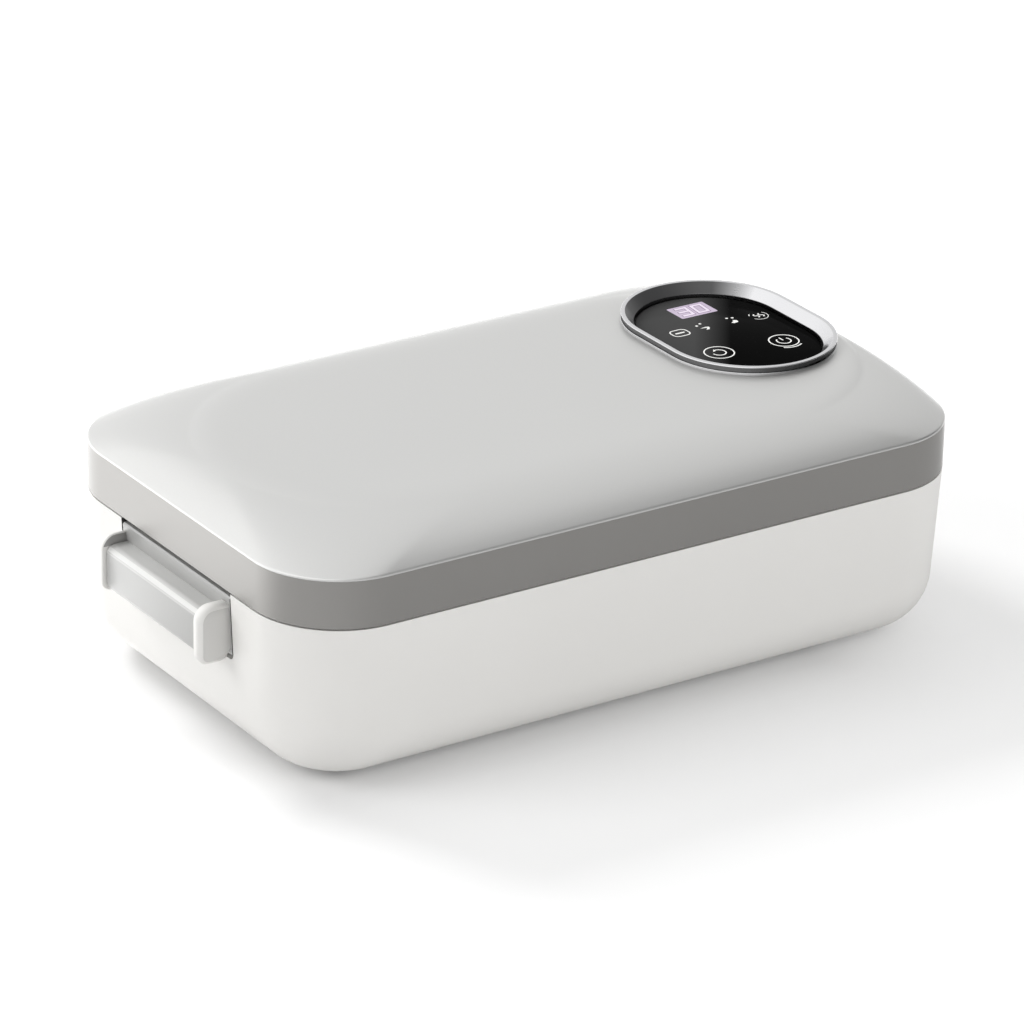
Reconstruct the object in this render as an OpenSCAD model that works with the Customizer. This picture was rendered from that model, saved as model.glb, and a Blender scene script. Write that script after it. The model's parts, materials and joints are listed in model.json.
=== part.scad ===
// Electric lunch box with a hinged lid, an end latch and a touch panel.
// Millimetres. +Z is up and the table is z = 0, below the centre of the box.
// +X is the hinge end, -X the latch end, -Y the long side the display is read from.

/* [Body] */
// Outside length of the body
body_l = 240; // [225:1:270]
// Outside width of the body
body_w = 145; // [136:1:165]
// Height of the body's floor above the table
foot_gap = 1.8; // [1.4:0.1:4]
// Height of the body's rim above the table
rim_z = 53.8; // [52:0.2:60]
// Corner radius seen from above
corner_r = 28; // [24:1:34]
// Draught of the walls in degrees
draught = 3; // [1:0.5:4]
// Radius that rounds the walls into the floor
floor_r = 17.8; // [12:0.2:19]
// Thickness of the shell's walls and floor
wall = 2.5; // [2.2:0.1:2.8]

/* [Lid] */
// Gap between the body's rim and the lid
part_gap = 0.5; // [0.3:0.1:1]
// Height of the lid's band
band_h = 14.8; // [12:0.2:18]
// Thickness of the lid's band
band_wall = 2.4; // [2:0.1:3]
// Rise of the crown above the band
crown_h = 9.9; // [8:0.1:12]
// Width of the crown's shoulder at the latch end
shoulder_latch = 20; // [14:1:26]
// Width of the crown's shoulder at the hinge end
shoulder_hinge = 9; // [7:1:14]
// Width of the crown's shoulder along the sides
shoulder_side = 24; // [18:1:28]
// Growth of the corner radius over the shoulder
crown_round = 50; // [20:1:60]
// Fullness of the shoulder's curve
crown_power = 2.2; // [1.6:0.1:3]
// Thickness of the lid's top
lid_wall = 2.2; // [1.8:0.1:2.6]
// Thickness of the inner lid
liner_t = 3.4; // [3.2:0.1:4]
// Fine seam between the band and the crown
seam = 0.15; // [0.1:0.05:0.4]

/* [Panel] */
// Distance of the panel's centre from the body's hinge end
panel_end = 35.7; // [35:0.1:42]
// Distance of the panel's centre from the middle towards the rear
panel_y = 10.7; // [0:0.1:14]
// End radius of the bezel
panel_r = 28; // [26:0.5:30]
// Half the length of the bezel's straight sides
panel_straight = 9.8; // [6:0.1:12]
// Height of the bezel's rim above the crown
bezel_proud = 2.4; // [1.5:0.1:3]
// Width of the bezel's sloped inner wall
bezel_slope = 2.9; // [2:0.1:4]
// Depth of the glass below the rim
glass_drop = 4.2; // [3.8:0.1:5]
// Thickness of the glass
glass_t = 1.6; // [1.2:0.1:2]
// Length and width of the display
display_size = [15, 10.4];
// Place of the display from the panel's centre
display_at = [2.1, 22.5];
// Place of the power key from the panel's centre
power_at = [12, -13];
// Place of the mode key from the panel's centre
mode_at = [-10.6, -10.2];
// Radius of the contact spring under a key
key_r = 3; // [2:0.5:4]

/* [Latch] */
// Half the width of the recess that holds the latch
recess_half = 31.6; // [29:0.2:33]
// Height of the recess's floor above the table
recess_z = 32.3; // [31:0.1:33]
// Depth of the recess
recess_depth = 7.4; // [7:0.1:7.6]
// Thickness of the latch plate
latch_t = 2.8; // [2.4:0.1:3]
// Distance that the grip stands out from the body
grip_out = 6.8; // [5:0.1:8]
// Half the length of the grip with both end caps
grip_half = 30.4; // [28:0.1:30.8]
// Height of the grip
grip_h = 14.5; // [12:0.1:15]
// Thickness of the thick cap at the front end
cap_t = 4.8; // [3.5:0.1:6]
// Thickness of the thin cap at the back end
thin_cap_t = 1.2; // [1:0.1:2]
// Height of an end cap
cap_h = 17.9; // [16:0.1:18]
// Distance that the thick cap stands out from the body
cap_out = 9.3; // [8:0.1:10]
// Distance that the thin cap stands out from the body
thin_cap_out = 7.9; // [7:0.1:9]
// Radius of the latch's knuckle
latch_knuckle_r = 2.7; // [2.3:0.1:2.8]
// Radius of the latch's pin
latch_pin_r = 1.1; // [0.9:0.05:1.3]

/* [Hinge] */
// Distance of the hinge axis from the body's end
hinge_out = 5; // [4.8:0.1:6]
// Height of the hinge axis above the band's lower edge
hinge_up = 3.2; // [2.8:0.1:4]
// Radius of the hinge knuckles
hinge_r = 4.3; // [3.8:0.1:4.4]
// Radius of the hinge pin
hinge_pin_r = 1.6; // [1.3:0.1:2]
// Half the length of the lid's knuckle
knuckle_half = 17.6; // [14:0.2:20]
// Length of each of the body's knuckles
lug_l = 12; // [9:0.5:14]

/* [Well and tray] */
// Distance of the well's ends from the body's ends
well_end = 22; // [21:0.5:26]
// Distance of the well's sides from the body's sides
well_side = 18.5; // [18:0.5:21]
// Corner radius of the heating well
well_r = 20; // [18:0.5:22]
// Height of the well's floor above the table
well_z = 17.8; // [17.4:0.1:19]
// Thickness of the well's sheet
well_t = 0.8; // [0.6:0.1:1]
// Radius that rounds the well's walls into its floor
well_floor_r = 6; // [4:0.5:8]
// Width of the well's flange
well_flange = 4; // [3:0.1:4.4]
// Depth of the deck below the body's rim
deck_drop = 2.4; // [2.2:0.1:2.8]
// Thickness of the deck
deck_t = 2.6; // [2.2:0.1:3]
// Thickness of the tray's sheet
tray_t = 0.6; // [0.5:0.1:0.8]
// Radius of the tray's rolled rim
bead_r = 0.8; // [0.7:0.05:0.9]
// Distance of the divider from the well's hinge end
divider_end = 74; // [56:1:138]
// Height of the divider
divider_h = 28; // [20:1:30]
// Width of the seal's groove in the inner lid
seal_w = 5; // [4:0.2:5.2]
// Depth of the seal's groove in the inner lid
seal_groove = 1.2; // [1:0.1:1.4]

/* [Heater] */
// Length, width and thickness of the heat spreader
plate_size = [120, 70, 3];
// Length, width and thickness of the heating element
element_size = [100, 24, 5];
// Width and thickness of a clamp's strap
strap_size = [16, 1.2];
// Distance of each clamp from the middle
clamp_x = 30; // [20:1:38]
// Distance of a clamp's screws from the element
clamp_screw_out = 8; // [7:0.5:9]
// Radius and height of the thermostat's body
thermostat_size = [8, 5];
// Distance of the thermostat and the fuse from the spreader's ends and from its rear edge
sensor_in = [14, 11];
// Radius and length of the thermal fuse
fuse_size = [2, 14];
// Thickness of the insulating pad
pad_t = 3; // [2:0.5:3.5]

/* [Base] */
// Distance of the bottom cover from the body's ends and sides
cover_in = [46, 34.5];
// Corner radius of the bottom cover
cover_r = 10; // [8:1:14]
// Thickness of the bottom cover
cover_t = 1.2; // [1:0.1:1.2]
// Width of the ledge that the cover lies on
cover_ledge = 8; // [7:0.5:9]
// Distance of each rubber foot from the body's ends and sides
foot_in = [34, 30.5];
// Radius of a foot where it leaves the body
foot_r = 7; // [6:0.5:7.5]
// Depth of the recess that holds a foot
foot_recess = 0.6; // [0.4:0.1:1]
// Distance of each case screw from the body's ends and sides
case_screw_in = [24, 21];
// Radius of a case screw's shank
case_screw_r = 1.5; // [1.2:0.1:1.8]
// Length, width and thickness of the power board
board_size = [26, 54, 1.6];
// Height of the power board above the table
board_z = 8; // [7.6:0.1:8.4]
// Length of a case screw's shank
case_screw_l = 22; // [16:1:26]
// Length of the thread in a boss of the lid
lid_screw_l = 9; // [7:0.5:10]
// Length of a cover screw's shank
cover_screw_l = 6.5; // [5:0.5:6.8]
// Length of the board screws' thread
board_screw_l = 3.5; // [3:0.1:4]

/* [Inlet] */
// Height of the power inlet above the table
inlet_z = 27; // [25:0.5:29]
// Distance between the inlet's pins
pin_pitch = 8.6; // [8:0.1:9]
// Radius of each pin
inlet_pin_r = 1.2; // [1:0.1:1.3]
// Radius of the socket round each pin
socket_r = 4.3; // [4:0.1:4.6]
// Depth of the socket
socket_depth = 12; // [10:0.5:12.5]
// Wall of the socket
socket_wall = 1.4; // [1.2:0.1:1.6]

/* [Fits] */
// Clearance where flat pieces sit side by side
side_gap = 0.3; // [0.2:0.05:0.4]
// Radial clearance of a pin that turns
run_fit = 0.06; // [0.02:0.01:0.1]
// Radial clearance of a pin or screw that is fixed
hold_fit = 0.02; // [0.01:0.01:0.04]
// Radius of a small screw
screw_r = 1.25; // [1:0.05:1.3]
// Radius of a small screw's head
head_r = 2.6; // [2.2:0.1:2.8]
// Height of a small screw's head
head_h = 1.4; // [1:0.1:1.5]

/* [Hidden] */

$fn = 64;
cut = 1; // how far a cutting solid runs past what it cuts
steel = "lightsteelblue";
silver = "silver";
lid_grey = [0.62, 0.61, 0.60];
zinc = "gray";

// ---- body levels ----
floor_z = foot_gap + wall;
floor_mid_r = corner_r - (rim_z - foot_gap - floor_r) * tan(draught) - floor_r / cos(draught);
floor_mid_z = foot_gap + floor_r;
half_l = body_l / 2;
half_w = body_w / 2;
corner_x = body_l / 2 - corner_r;
corner_y = body_w / 2 - corner_r;
deck_z = rim_z - deck_drop;
ledge_z = deck_z - deck_t;
ledge_w = 1.8;

// ---- places that follow the body ----
panel_x = half_l - panel_end;
well_l = body_l - 2 * well_end;
well_w = body_w - 2 * well_side;
divider_x = well_l / 2 - divider_end;
cover_size = [body_l - 2 * cover_in.x, body_w - 2 * cover_in.y];
pad_size = [cover_size.x - 44, cover_size.y - 24, pad_t];
foot_at = [half_l - foot_in.x, half_w - foot_in.y];
case_screw_at = [half_l - case_screw_in.x, half_w - case_screw_in.y];
board_x = cover_size.x / 2 + 8;
thermostat_at = [plate_size.x / 2 - sensor_in.x, plate_size.y / 2 - sensor_in.y];
fuse_at = [sensor_in.x - plate_size.x / 2, plate_size.y / 2 - sensor_in.y];

// ---- lid levels ----
band_z = rim_z + part_gap;
crown_z = band_z + band_h + seam;
crown_top = crown_z + crown_h;
liner_z = band_z + side_gap;
liner_top = liner_z + liner_t;
liner_inset = band_wall + side_gap;
rib_h = 2;
rib_w = 2;
skirt_t = 1.8;
skirt_inset = band_wall + 0.2;
crown_inset = skirt_inset + skirt_t;
crown_levels = 11;
corner_steps = 11;

// ---- seal ----
seal_in = [well_l / 2 + well_flange + 1.7, well_w / 2 + well_flange + 1.7];
seal_r = well_r + well_flange + 1.7;
seal_mid = [seal_in.x + seal_w / 2, seal_in.y + seal_w / 2];
lid_screw_pitch = 72;
lid_screw_x = [-lid_screw_pitch, 0, lid_screw_pitch];
lid_screw_boss_r = 3;

// ---- panel levels ----
rim_top = crown_top + bezel_proud;
glass_top = rim_top - glass_drop;
glass_z = glass_top - glass_t;
glass_r = panel_r - bezel_slope - 1.7;
shelf_r = glass_r - 2;
bezel_z = glass_z - 1.6;
collar_t = 1.7;
collar_shelf_r = panel_r - 1.5;
collar_z = bezel_z - 1.5;
panel_fit = 0.15;
post_l = 3.7;
post_r = 2.2;
post_mid_r = shelf_r + 0.4 + post_r;
board_top = bezel_z - post_l;
panel_board_t = 1.6;
micro_screw_r = 1;

// ---- latch levels ----
latch_top = rim_z - 0.6;
pivot_z = recess_z + latch_knuckle_r + 0.5;
pivot_x = -side_x(pivot_z) + latch_knuckle_r + 0.1;
recess_wall = 2.2;
recess_corner_r = 2;
recess_back = -body_l / 2 + recess_depth;
tooth_z = 49.6;
tooth_h = 2.8;
tooth_half = 8.5;
keeper_x = recess_back - 3.5;
keeper_t = 1.6;
keeper_half = 13;
keeper_low = 45.8;
keeper_high = liner_top + rib_h - 0.2;
tooth_x = keeper_x + keeper_t + 0.2;
keeper_screw_y = 9;
grip_z = recess_z + 0.6;
cap_z = recess_z + 0.1;
cap_gap = 0.1;
grip_front = -grip_half + cap_t + cap_gap;
grip_back = grip_half - thin_cap_t - cap_gap;
grip_screw_y = 15.3;
plate_half = recess_half - 0.6;

// ---- hinge ----
hinge_x = body_l / 2 + hinge_out;
hinge_z = band_z + hinge_up;
knuckle_gap = 0.4;

// ---- heater and base ----
spreader_z = well_z - well_t - plate_size.z;
element_z = spreader_z - element_size.z;
tray_out = [well_l - 2.4, well_w - 2.4];
tray_r = well_r - 1.2;
tray_z = well_z + 0.5;
divider_t = 0.8;
boss_r = 3.5;
boss_low = 9.2;
column_r = 5;
column_top = 9;
case_head_r = 3;
case_head_h = 1.8;
case_head_z = 3;
cover_screw_at = [cover_size.x / 2 - cover_ledge / 2, cover_size.y / 2 - cover_ledge / 2];
cover_boss_top = 9;
board_post_at = [board_size.x / 2 - 3, board_size.y / 2 - 4];
clamp_thread = 2.2;

// ---- inlet ----
inlet_flange = [24, 15, 1.8];
inlet_seat_x = side_x(inlet_z - inlet_flange.y / 2) - 0.1;
inlet_face_x = inlet_seat_x + inlet_flange.z;
inlet_back = 3.8;
inlet_body = [pin_pitch + 2 * (socket_r + socket_wall), 2 * (socket_r + socket_wall)];
inlet_in_x = inlet_face_x - socket_depth - inlet_back;

// Half length of the body's outside at height z, on the straight part of its ends
function side_x(z) = body_l / 2 - (rim_z - z) * tan(draught);

// ---- shapes that several pieces share ----

// Rounded rectangle seen from above
module plan(l, w, r) {
    square([l - 2 * r, w], center = true);
    square([l, w - 2 * r], center = true);
    for (x = [-1, 1], y = [-1, 1])
        translate([x * (l / 2 - r), y * (w / 2 - r)]) circle(r);
}

module slab(l, w, r, z, h) {
    translate([0, 0, z]) linear_extrude(h) plan(l, w, r);
}

// Sweeps a section, drawn as distance from the corner axis and height, round a rounded rectangle
module round_sweep(l, w, r) {
    cx = l / 2 - r;
    cy = w / 2 - r;
    for (i = [0:3]) {
        x = i == 0 || i == 3 ? cx : -cx;
        y = i < 2 ? cy : -cy;
        translate([x, y, 0]) rotate(90 * i) rotate_extrude(angle = 90, $fn = 96) children();
    }
    for (i = [0, 1]) {
        rotate(180 * i) translate([cx, cy, 0]) rotate([90, 0, 0]) linear_extrude(2 * cy) children();
        rotate(90 + 180 * i) translate([cy, cx, 0]) rotate([90, 0, 0]) linear_extrude(2 * cx)
            children();
    }
}

// Stadium with ends of radius r, its straight sides along Y
module stadium(r) {
    for (y = [-1, 1]) translate([0, y * panel_straight]) circle(r, $fn = 96);
    square([2 * r, 2 * panel_straight], center = true);
}

module panel_slab(r, z, h) {
    translate([panel_x, panel_y, z]) linear_extrude(h) stadium(r);
}

module panel_sweep() {
    translate([panel_x, panel_y, 0]) for (i = [0, 1]) rotate(180 * i) {
        translate([0, panel_straight, 0]) rotate_extrude(angle = 180, $fn = 96) children();
        translate([0, panel_straight, 0]) rotate([90, 0, 0])
            linear_extrude(2 * panel_straight) children();
    }
}

// Extrudes a section in X and Z along Y, centred
module along_y(w) {
    translate([0, w / 2, 0]) rotate([90, 0, 0]) linear_extrude(w) children();
}

// Extrudes a shape in Y and Z along X, from x
module along_x(x, w) {
    translate([x, 0, 0]) rotate([90, 0, 90]) linear_extrude(w) children();
}

module rod_y(x, z, r, l) {
    translate([x, 0, z]) rotate([90, 0, 0]) cylinder(r = r, h = l, center = true, $fn = 48);
}

module rod_x(x, y, z, r, l) {
    translate([x, y, z]) rotate([0, 90, 0]) cylinder(r = r, h = l, $fn = 48);
}

// Copies of the children at the four places [+-x, +-y]
module at_corners(p) {
    for (x = [-1, 1], y = [-1, 1]) translate([x * p.x, y * p.y, 0]) children();
}

// A pan-head screw that points up from z, where its head meets what it holds
module screw_up(z, r, l) {
    translate([0, 0, z]) cylinder(r = r, h = l, $fn = 32);
    translate([0, 0, z - head_h]) cylinder(r = head_r, h = head_h, $fn = 32);
}

// ---- body ----

// Section of the body from its corner axis, drawn in from the outside by inset
module body_section(inset, top) {
    r = floor_r - inset;
    low = floor_mid_z - r;
    side = corner_r - inset / cos(draught);
    polygon([[0, low], [floor_mid_r, low],
        [floor_mid_r + r * cos(draught), floor_mid_z - r * sin(draught)],
        [side + (top - rim_z) * tan(draught), top], [0, top]]);
    intersection() {
        translate([floor_mid_r, floor_mid_z]) circle(r);
        translate([floor_mid_r, low]) square(r);
    }
}

module shell_section() {
    difference() {
        body_section(0, rim_z);
        body_section(wall, rim_z + cut);
    }
    // ledge that the deck lies on
    ledge_r = corner_r - (rim_z - ledge_z) * tan(draught) - wall;
    polygon([[ledge_r + 1, ledge_z], [ledge_r - ledge_w, ledge_z],
        [ledge_r - ledge_w, ledge_z - 0.8], [ledge_r, ledge_z - 3.4], [ledge_r + 1, ledge_z - 3.4]]);
}

module recess_front(grow) {
    r = recess_corner_r;
    half = recess_half + grow;
    low = recess_z - grow;
    translate([-half, low + r]) square([2 * half, rim_z + 2 * cut - low - r]);
    translate([-half + r, low]) square([2 * (half - r), r + 1]);
    for (y = [-1, 1]) translate([y * (half - r), low + r]) circle(r);
}

module hinge_lug_section() {
    root = body_l / 2 - wall / 2;
    translate([hinge_x, hinge_z]) circle(hinge_r);
    polygon([[root - 1, hinge_z - 21], [root - 1, rim_z], [hinge_x - hinge_r, rim_z],
        [hinge_x - hinge_r, hinge_z], [hinge_x + hinge_r, hinge_z],
        [hinge_x + hinge_r, hinge_z - 3.5]]);
}

module inlet_figure(r) {
    for (y = [-1, 1]) translate([y * pin_pitch / 2, inlet_z]) circle(r);
    translate([-pin_pitch / 2, inlet_z - r * 0.7]) square([pin_pitch, 2 * r * 0.7]);
}

module outer_shell() {
    color("white") difference() {
        union() {
            round_sweep(body_l, body_w, corner_r) shell_section();
            translate([-corner_x, -corner_y, foot_gap]) cube([2 * corner_x, 2 * corner_y, wall]);
            // walls of the latch recess
            intersection() {
                along_x(-body_l / 2 + 0.5, recess_depth + recess_wall - 0.5)
                    recess_front(recess_wall);
                along_y(body_w) polygon([
                    [-side_x(recess_z - 5) + 0.4, recess_z - 5], [-side_x(rim_z) + 0.4, rim_z],
                    [recess_back + recess_wall, rim_z],
                    [recess_back + recess_wall, recess_z - 5]]);
            }
            for (y = [-1, 1]) translate([0, y * (knuckle_half + knuckle_gap + lug_l / 2), 0])
                along_y(lug_l) hinge_lug_section();
            at_corners(case_screw_at) translate([0, 0, foot_gap + 0.5])
                cylinder(r = column_r, h = column_top - foot_gap - 0.5);
            at_corners(cover_screw_at) translate([0, 0, floor_z - 1])
                cylinder(r = 3, h = cover_boss_top - floor_z + 1);
            translate([board_x, 0, 0]) at_corners(board_post_at) translate([0, 0, floor_z - 1])
                cylinder(r = 2.4, h = board_z - floor_z + 1);
        }
        along_x(-body_l / 2 - cut, recess_depth + cut) recess_front(0);
        rod_y(pivot_x, pivot_z, latch_pin_r + hold_fit, 2 * (recess_half + recess_wall) + 2);
        rod_y(hinge_x, hinge_z, hinge_pin_r + hold_fit, 2 * (knuckle_half + lug_l) + 4);
        // opening and rebate for the bottom cover
        slab(cover_size.x - 2 * cover_ledge, cover_size.y - 2 * cover_ledge, cover_r - 4,
            foot_gap - cut, wall + 2 * cut);
        slab(cover_size.x + 2 * side_gap, cover_size.y + 2 * side_gap, cover_r + side_gap,
            foot_gap - cut, cover_t + cut);
        at_corners(cover_screw_at) translate([0, 0, foot_gap - cut])
            cylinder(r = screw_r + hold_fit, h = cover_screw_l + 0.5 + cut);
        at_corners(case_screw_at) {
            translate([0, 0, foot_gap - cut])
                cylinder(r = case_head_r + 0.3, h = case_head_z + case_head_h - foot_gap + cut);
            cylinder(r = case_screw_r + 0.2, h = column_top + cut);
        }
        at_corners(foot_at) translate([0, 0, foot_gap - cut])
            cylinder(r = foot_r + side_gap / 2, h = foot_recess + cut);
        translate([board_x, 0, board_z - board_screw_l - 0.3]) at_corners(board_post_at)
            cylinder(r = screw_r + hold_fit, h = board_screw_l + 0.3 + cut);
        // seat and opening for the power inlet
        along_x(inlet_seat_x, 10) translate([0, inlet_z])
            square([inlet_flange.x + 2 * side_gap, inlet_flange.y + 2 * side_gap], center = true);
        along_x(inlet_seat_x - 2 * wall, 2 * wall + cut) inlet_figure(socket_r + socket_wall + 0.2);
    }
}

module bottom_cover() {
    color("whitesmoke") difference() {
        union() {
            slab(cover_size.x, cover_size.y, cover_r, foot_gap, cover_t);
            // stiffening ribs that stand inside the opening
            for (x = [-1, 1]) translate([x * (pad_size.x / 2 + 5), 0, foot_gap + cover_t + 0.75])
                cube([1.6, cover_size.y - 2 * cover_ledge - 4, 2], center = true);
        }
        at_corners(cover_screw_at) translate([0, 0, foot_gap - cut])
            cylinder(r = screw_r + 0.2, h = cover_t + 2 * cut);
    }
}

module cover_screws() {
    color(zinc) at_corners(cover_screw_at) screw_up(foot_gap, screw_r, cover_screw_l);
}

module rubber_feet() {
    color("dimgray") at_corners(foot_at)
        cylinder(r1 = foot_r - 0.8, r2 = foot_r, h = foot_gap + foot_recess);
}

module case_screws() {
    color(zinc) at_corners(case_screw_at) translate([0, 0, case_head_z]) {
        cylinder(r = case_head_r, h = case_head_h);
        cylinder(r = case_screw_r, h = case_screw_l);
    }
}

// ---- deck, well and tray ----

module deck_frame() {
    inset = (rim_z - ledge_z) * tan(draught) + wall + side_gap;
    hole = [well_l + 2 * (well_t + 0.4), well_w + 2 * (well_t + 0.4)];
    seat = [well_l + 2 * well_flange + 2 * side_gap, well_w + 2 * well_flange + 2 * side_gap];
    color("gainsboro") difference() {
        union() {
            slab(body_l - 2 * inset, body_w - 2 * inset, corner_r - inset, ledge_z, deck_t);
            at_corners(case_screw_at) translate([0, 0, boss_low])
                cylinder(r = boss_r, h = ledge_z - boss_low + 1);
        }
        slab(hole.x, hole.y, well_r + well_t + 0.4, ledge_z - cut, deck_t + 2 * cut);
        slab(seat.x, seat.y, well_r + well_flange + side_gap, deck_z - well_t, well_t + cut);
        at_corners(case_screw_at) translate([0, 0, boss_low - cut])
            cylinder(r = case_screw_r + hold_fit, h = case_head_z + case_screw_l + cut - boss_low + 1);
        // notch round the latch recess
        translate([-body_l / 2, -recess_half - recess_wall - side_gap, ledge_z - cut])
            cube([recess_depth + recess_wall + side_gap, 2 * (recess_half + recess_wall + side_gap),
                deck_t + 2 * cut]);
    }
}

// Section of a drawn sheet pan: outer corner radius r, floor underside low, flange top high
module pan_section(r, t, bend, low, high, flange) {
    difference() {
        translate([0, low]) square([r, high - low]);
        translate([-1, low + t + bend]) square([r - t + 1, high]);
        translate([-1, low + t]) square([r - t - bend + 1, bend + 1]);
        translate([r - t - bend, low + t + bend]) circle(bend);
        difference() {
            translate([r - t - bend, low - 1]) square([t + bend + 1, t + bend + 1]);
            translate([r - t - bend, low + t + bend]) circle(bend + t);
        }
    }
    translate([r - t, high - t]) square([t + flange, t]);
}

module pan(l, w, r, t, bend, low, high, flange) {
    round_sweep(l, w, r) pan_section(r, t, bend, low, high, flange);
    translate([-l / 2 + r, -w / 2 + r, low]) cube([l - 2 * r, w - 2 * r, t]);
}

module heating_well() {
    color(steel) pan(well_l + 2 * well_t, well_w + 2 * well_t, well_r + well_t, well_t,
        well_floor_r, well_z - well_t, deck_z, well_flange - well_t);
}

module food_tray() {
    flange = 3.4;
    color(steel) {
        pan(tray_out.x, tray_out.y, tray_r, tray_t, well_floor_r - 1, tray_z, deck_z + tray_t,
            flange);
        // rolled rim
        round_sweep(tray_out.x, tray_out.y, tray_r)
            translate([tray_r + flange, deck_z + bead_r]) circle(bead_r, $fn = 24);
    }
}

module tray_divider() {
    w = tray_out.y - 2 * tray_t - 1;
    bend = well_floor_r - 1;
    low = tray_z + tray_t;
    color(steel) {
        translate([divider_x, 0, 0]) along_x(-divider_t / 2, divider_t) difference() {
            translate([-w / 2, low]) square([w, divider_h]);
            for (y = [-1, 1]) translate([y * w / 2, low]) circle(bend);
        }
        // folded foot and folded top edge
        translate([divider_x - 10, -w / 2 + bend + 1, low]) cube([10, w - 2 * bend - 2, divider_t]);
        translate([divider_x, 0, low + divider_h]) rotate([90, 0, 0])
            cylinder(r = divider_t, h = w, center = true, $fn = 24);
    }
}

// ---- heater ----

module heat_spreader() {
    color(silver) difference() {
        slab(plate_size.x, plate_size.y, 5, spreader_z, plate_size.z);
        for (x = [-1, 1], y = [-1, 1])
            translate([x * clamp_x, y * (element_size.y / 2 + clamp_screw_out), spreader_z - cut])
                cylinder(r = screw_r + hold_fit, h = clamp_thread + 0.2 + cut);
    }
}

module heating_element() {
    color("goldenrod") slab(element_size.x, element_size.y, 3, element_z, element_size.z);
}

module element_clamps() {
    inner = element_size.y / 2 + side_gap;
    t = strap_size.y;
    color(steel) for (x = [-1, 1]) translate([x * clamp_x, 0, 0]) difference() {
        along_x(-strap_size.x / 2, strap_size.x) {
            translate([-inner - t, element_z - t]) square([2 * (inner + t), t]);
            for (y = [-1, 1]) {
                translate([y * (inner + t / 2) - t / 2, element_z - t])
                    square([t, element_size.z + t]);
                translate([y * (inner + 6) - 6, spreader_z - t]) square([12, t]);
            }
        }
        for (y = [-1, 1]) translate([0, y * (element_size.y / 2 + clamp_screw_out), spreader_z - t - cut])
            cylinder(r = screw_r + 0.2, h = t + 2 * cut);
    }
}

module clamp_screws() {
    color(zinc) for (x = [-1, 1], y = [-1, 1])
        translate([x * clamp_x, y * (element_size.y / 2 + clamp_screw_out), 0])
            screw_up(spreader_z - strap_size.y, screw_r, strap_size.y + clamp_thread);
}

module thermostat() {
    color("saddlebrown") translate([thermostat_at.x, thermostat_at.y, 0]) {
        translate([0, 0, spreader_z - thermostat_size.y])
            cylinder(r = thermostat_size.x, h = thermostat_size.y);
        for (x = [-1, 1]) translate([x * 4, 0, spreader_z - thermostat_size.y - 1.2])
            cube([0.8, 4, 2.6], center = true);
    }
}

module thermal_fuse() {
    z = spreader_z - fuse_size.x - 0.1;
    color("ivory") {
        rod_x(fuse_at.x - fuse_size.y / 2, fuse_at.y, z, fuse_size.x, fuse_size.y);
        rod_x(fuse_at.x - fuse_size.y / 2 - 5, fuse_at.y, z, 0.5, fuse_size.y + 10);
    }
}

module fuse_clip() {
    r = fuse_size.x + 0.1;
    z = spreader_z - r;
    color(steel) translate([fuse_at.x, fuse_at.y, 0]) difference() {
        along_x(-3, 6) {
            translate([0, z]) circle(r + 0.8);
            translate([-7, spreader_z - 0.8]) square([14, 0.8]);
        }
        translate([-4, -r, z]) cube([8, 2 * r, 2 * r]);
        rod_x(-4, 0, z, r, 8);
        translate([-4, -8, spreader_z]) cube([8, 16, 8]);
    }
}

module insulation_pad() {
    color("beige") slab(pad_size.x, pad_size.y, 3, foot_gap + cover_t, pad_size.z);
}

// ---- electrics in the base ----

module power_inlet() {
    color("black") difference() {
        union() {
            along_x(inlet_seat_x, inlet_flange.z) translate([0, inlet_z])
                square([inlet_flange.x, inlet_flange.y], center = true);
            along_x(inlet_in_x, inlet_seat_x - inlet_in_x + 1) inlet_figure(socket_r + socket_wall);
        }
        along_x(inlet_face_x - socket_depth, socket_depth + cut) inlet_figure(socket_r);
        for (y = [-1, 1])
            rod_x(inlet_in_x - cut, y * pin_pitch / 2, inlet_z, inlet_pin_r + hold_fit, 10);
    }
}

module inlet_pins() {
    color(silver) for (y = [-1, 1])
        rod_x(inlet_in_x - 3, y * pin_pitch / 2, inlet_z, inlet_pin_r,
            inlet_face_x - 2 - inlet_in_x + 3);
}

module power_board() {
    color("darkgreen") difference() {
        translate([board_x, 0, 0])
            slab(board_size.x, board_size.y, 1.5, board_z, board_size.z);
        translate([board_x, 0, board_z - cut]) at_corners(board_post_at)
            cylinder(r = screw_r + 0.2, h = board_size.z + 2 * cut);
    }
}

module power_board_screws() {
    color(zinc) translate([board_x, 0, board_z + board_size.z]) at_corners(board_post_at) {
        cylinder(r = 2.2, h = 1.2);
        translate([0, 0, -board_size.z - board_screw_l])
            cylinder(r = screw_r, h = board_size.z + board_screw_l);
    }
}

module power_relay() {
    color("royalblue") translate([board_x - 6, -16, board_z + board_size.z]) cube([12, 16, 5.4]);
}

module power_capacitor() {
    color("gold") translate([board_x - 7, 6, board_z + board_size.z]) cube([14, 6, 5.4]);
}

// ---- pins ----

module hinge_pin() {
    color(steel) rod_y(hinge_x, hinge_z, hinge_pin_r, 2 * (knuckle_half + knuckle_gap + lug_l));
}

module latch_pin() {
    color(steel) rod_y(pivot_x, pivot_z, latch_pin_r, 2 * (recess_half + recess_wall));
}

// ---- lid ----

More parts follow.
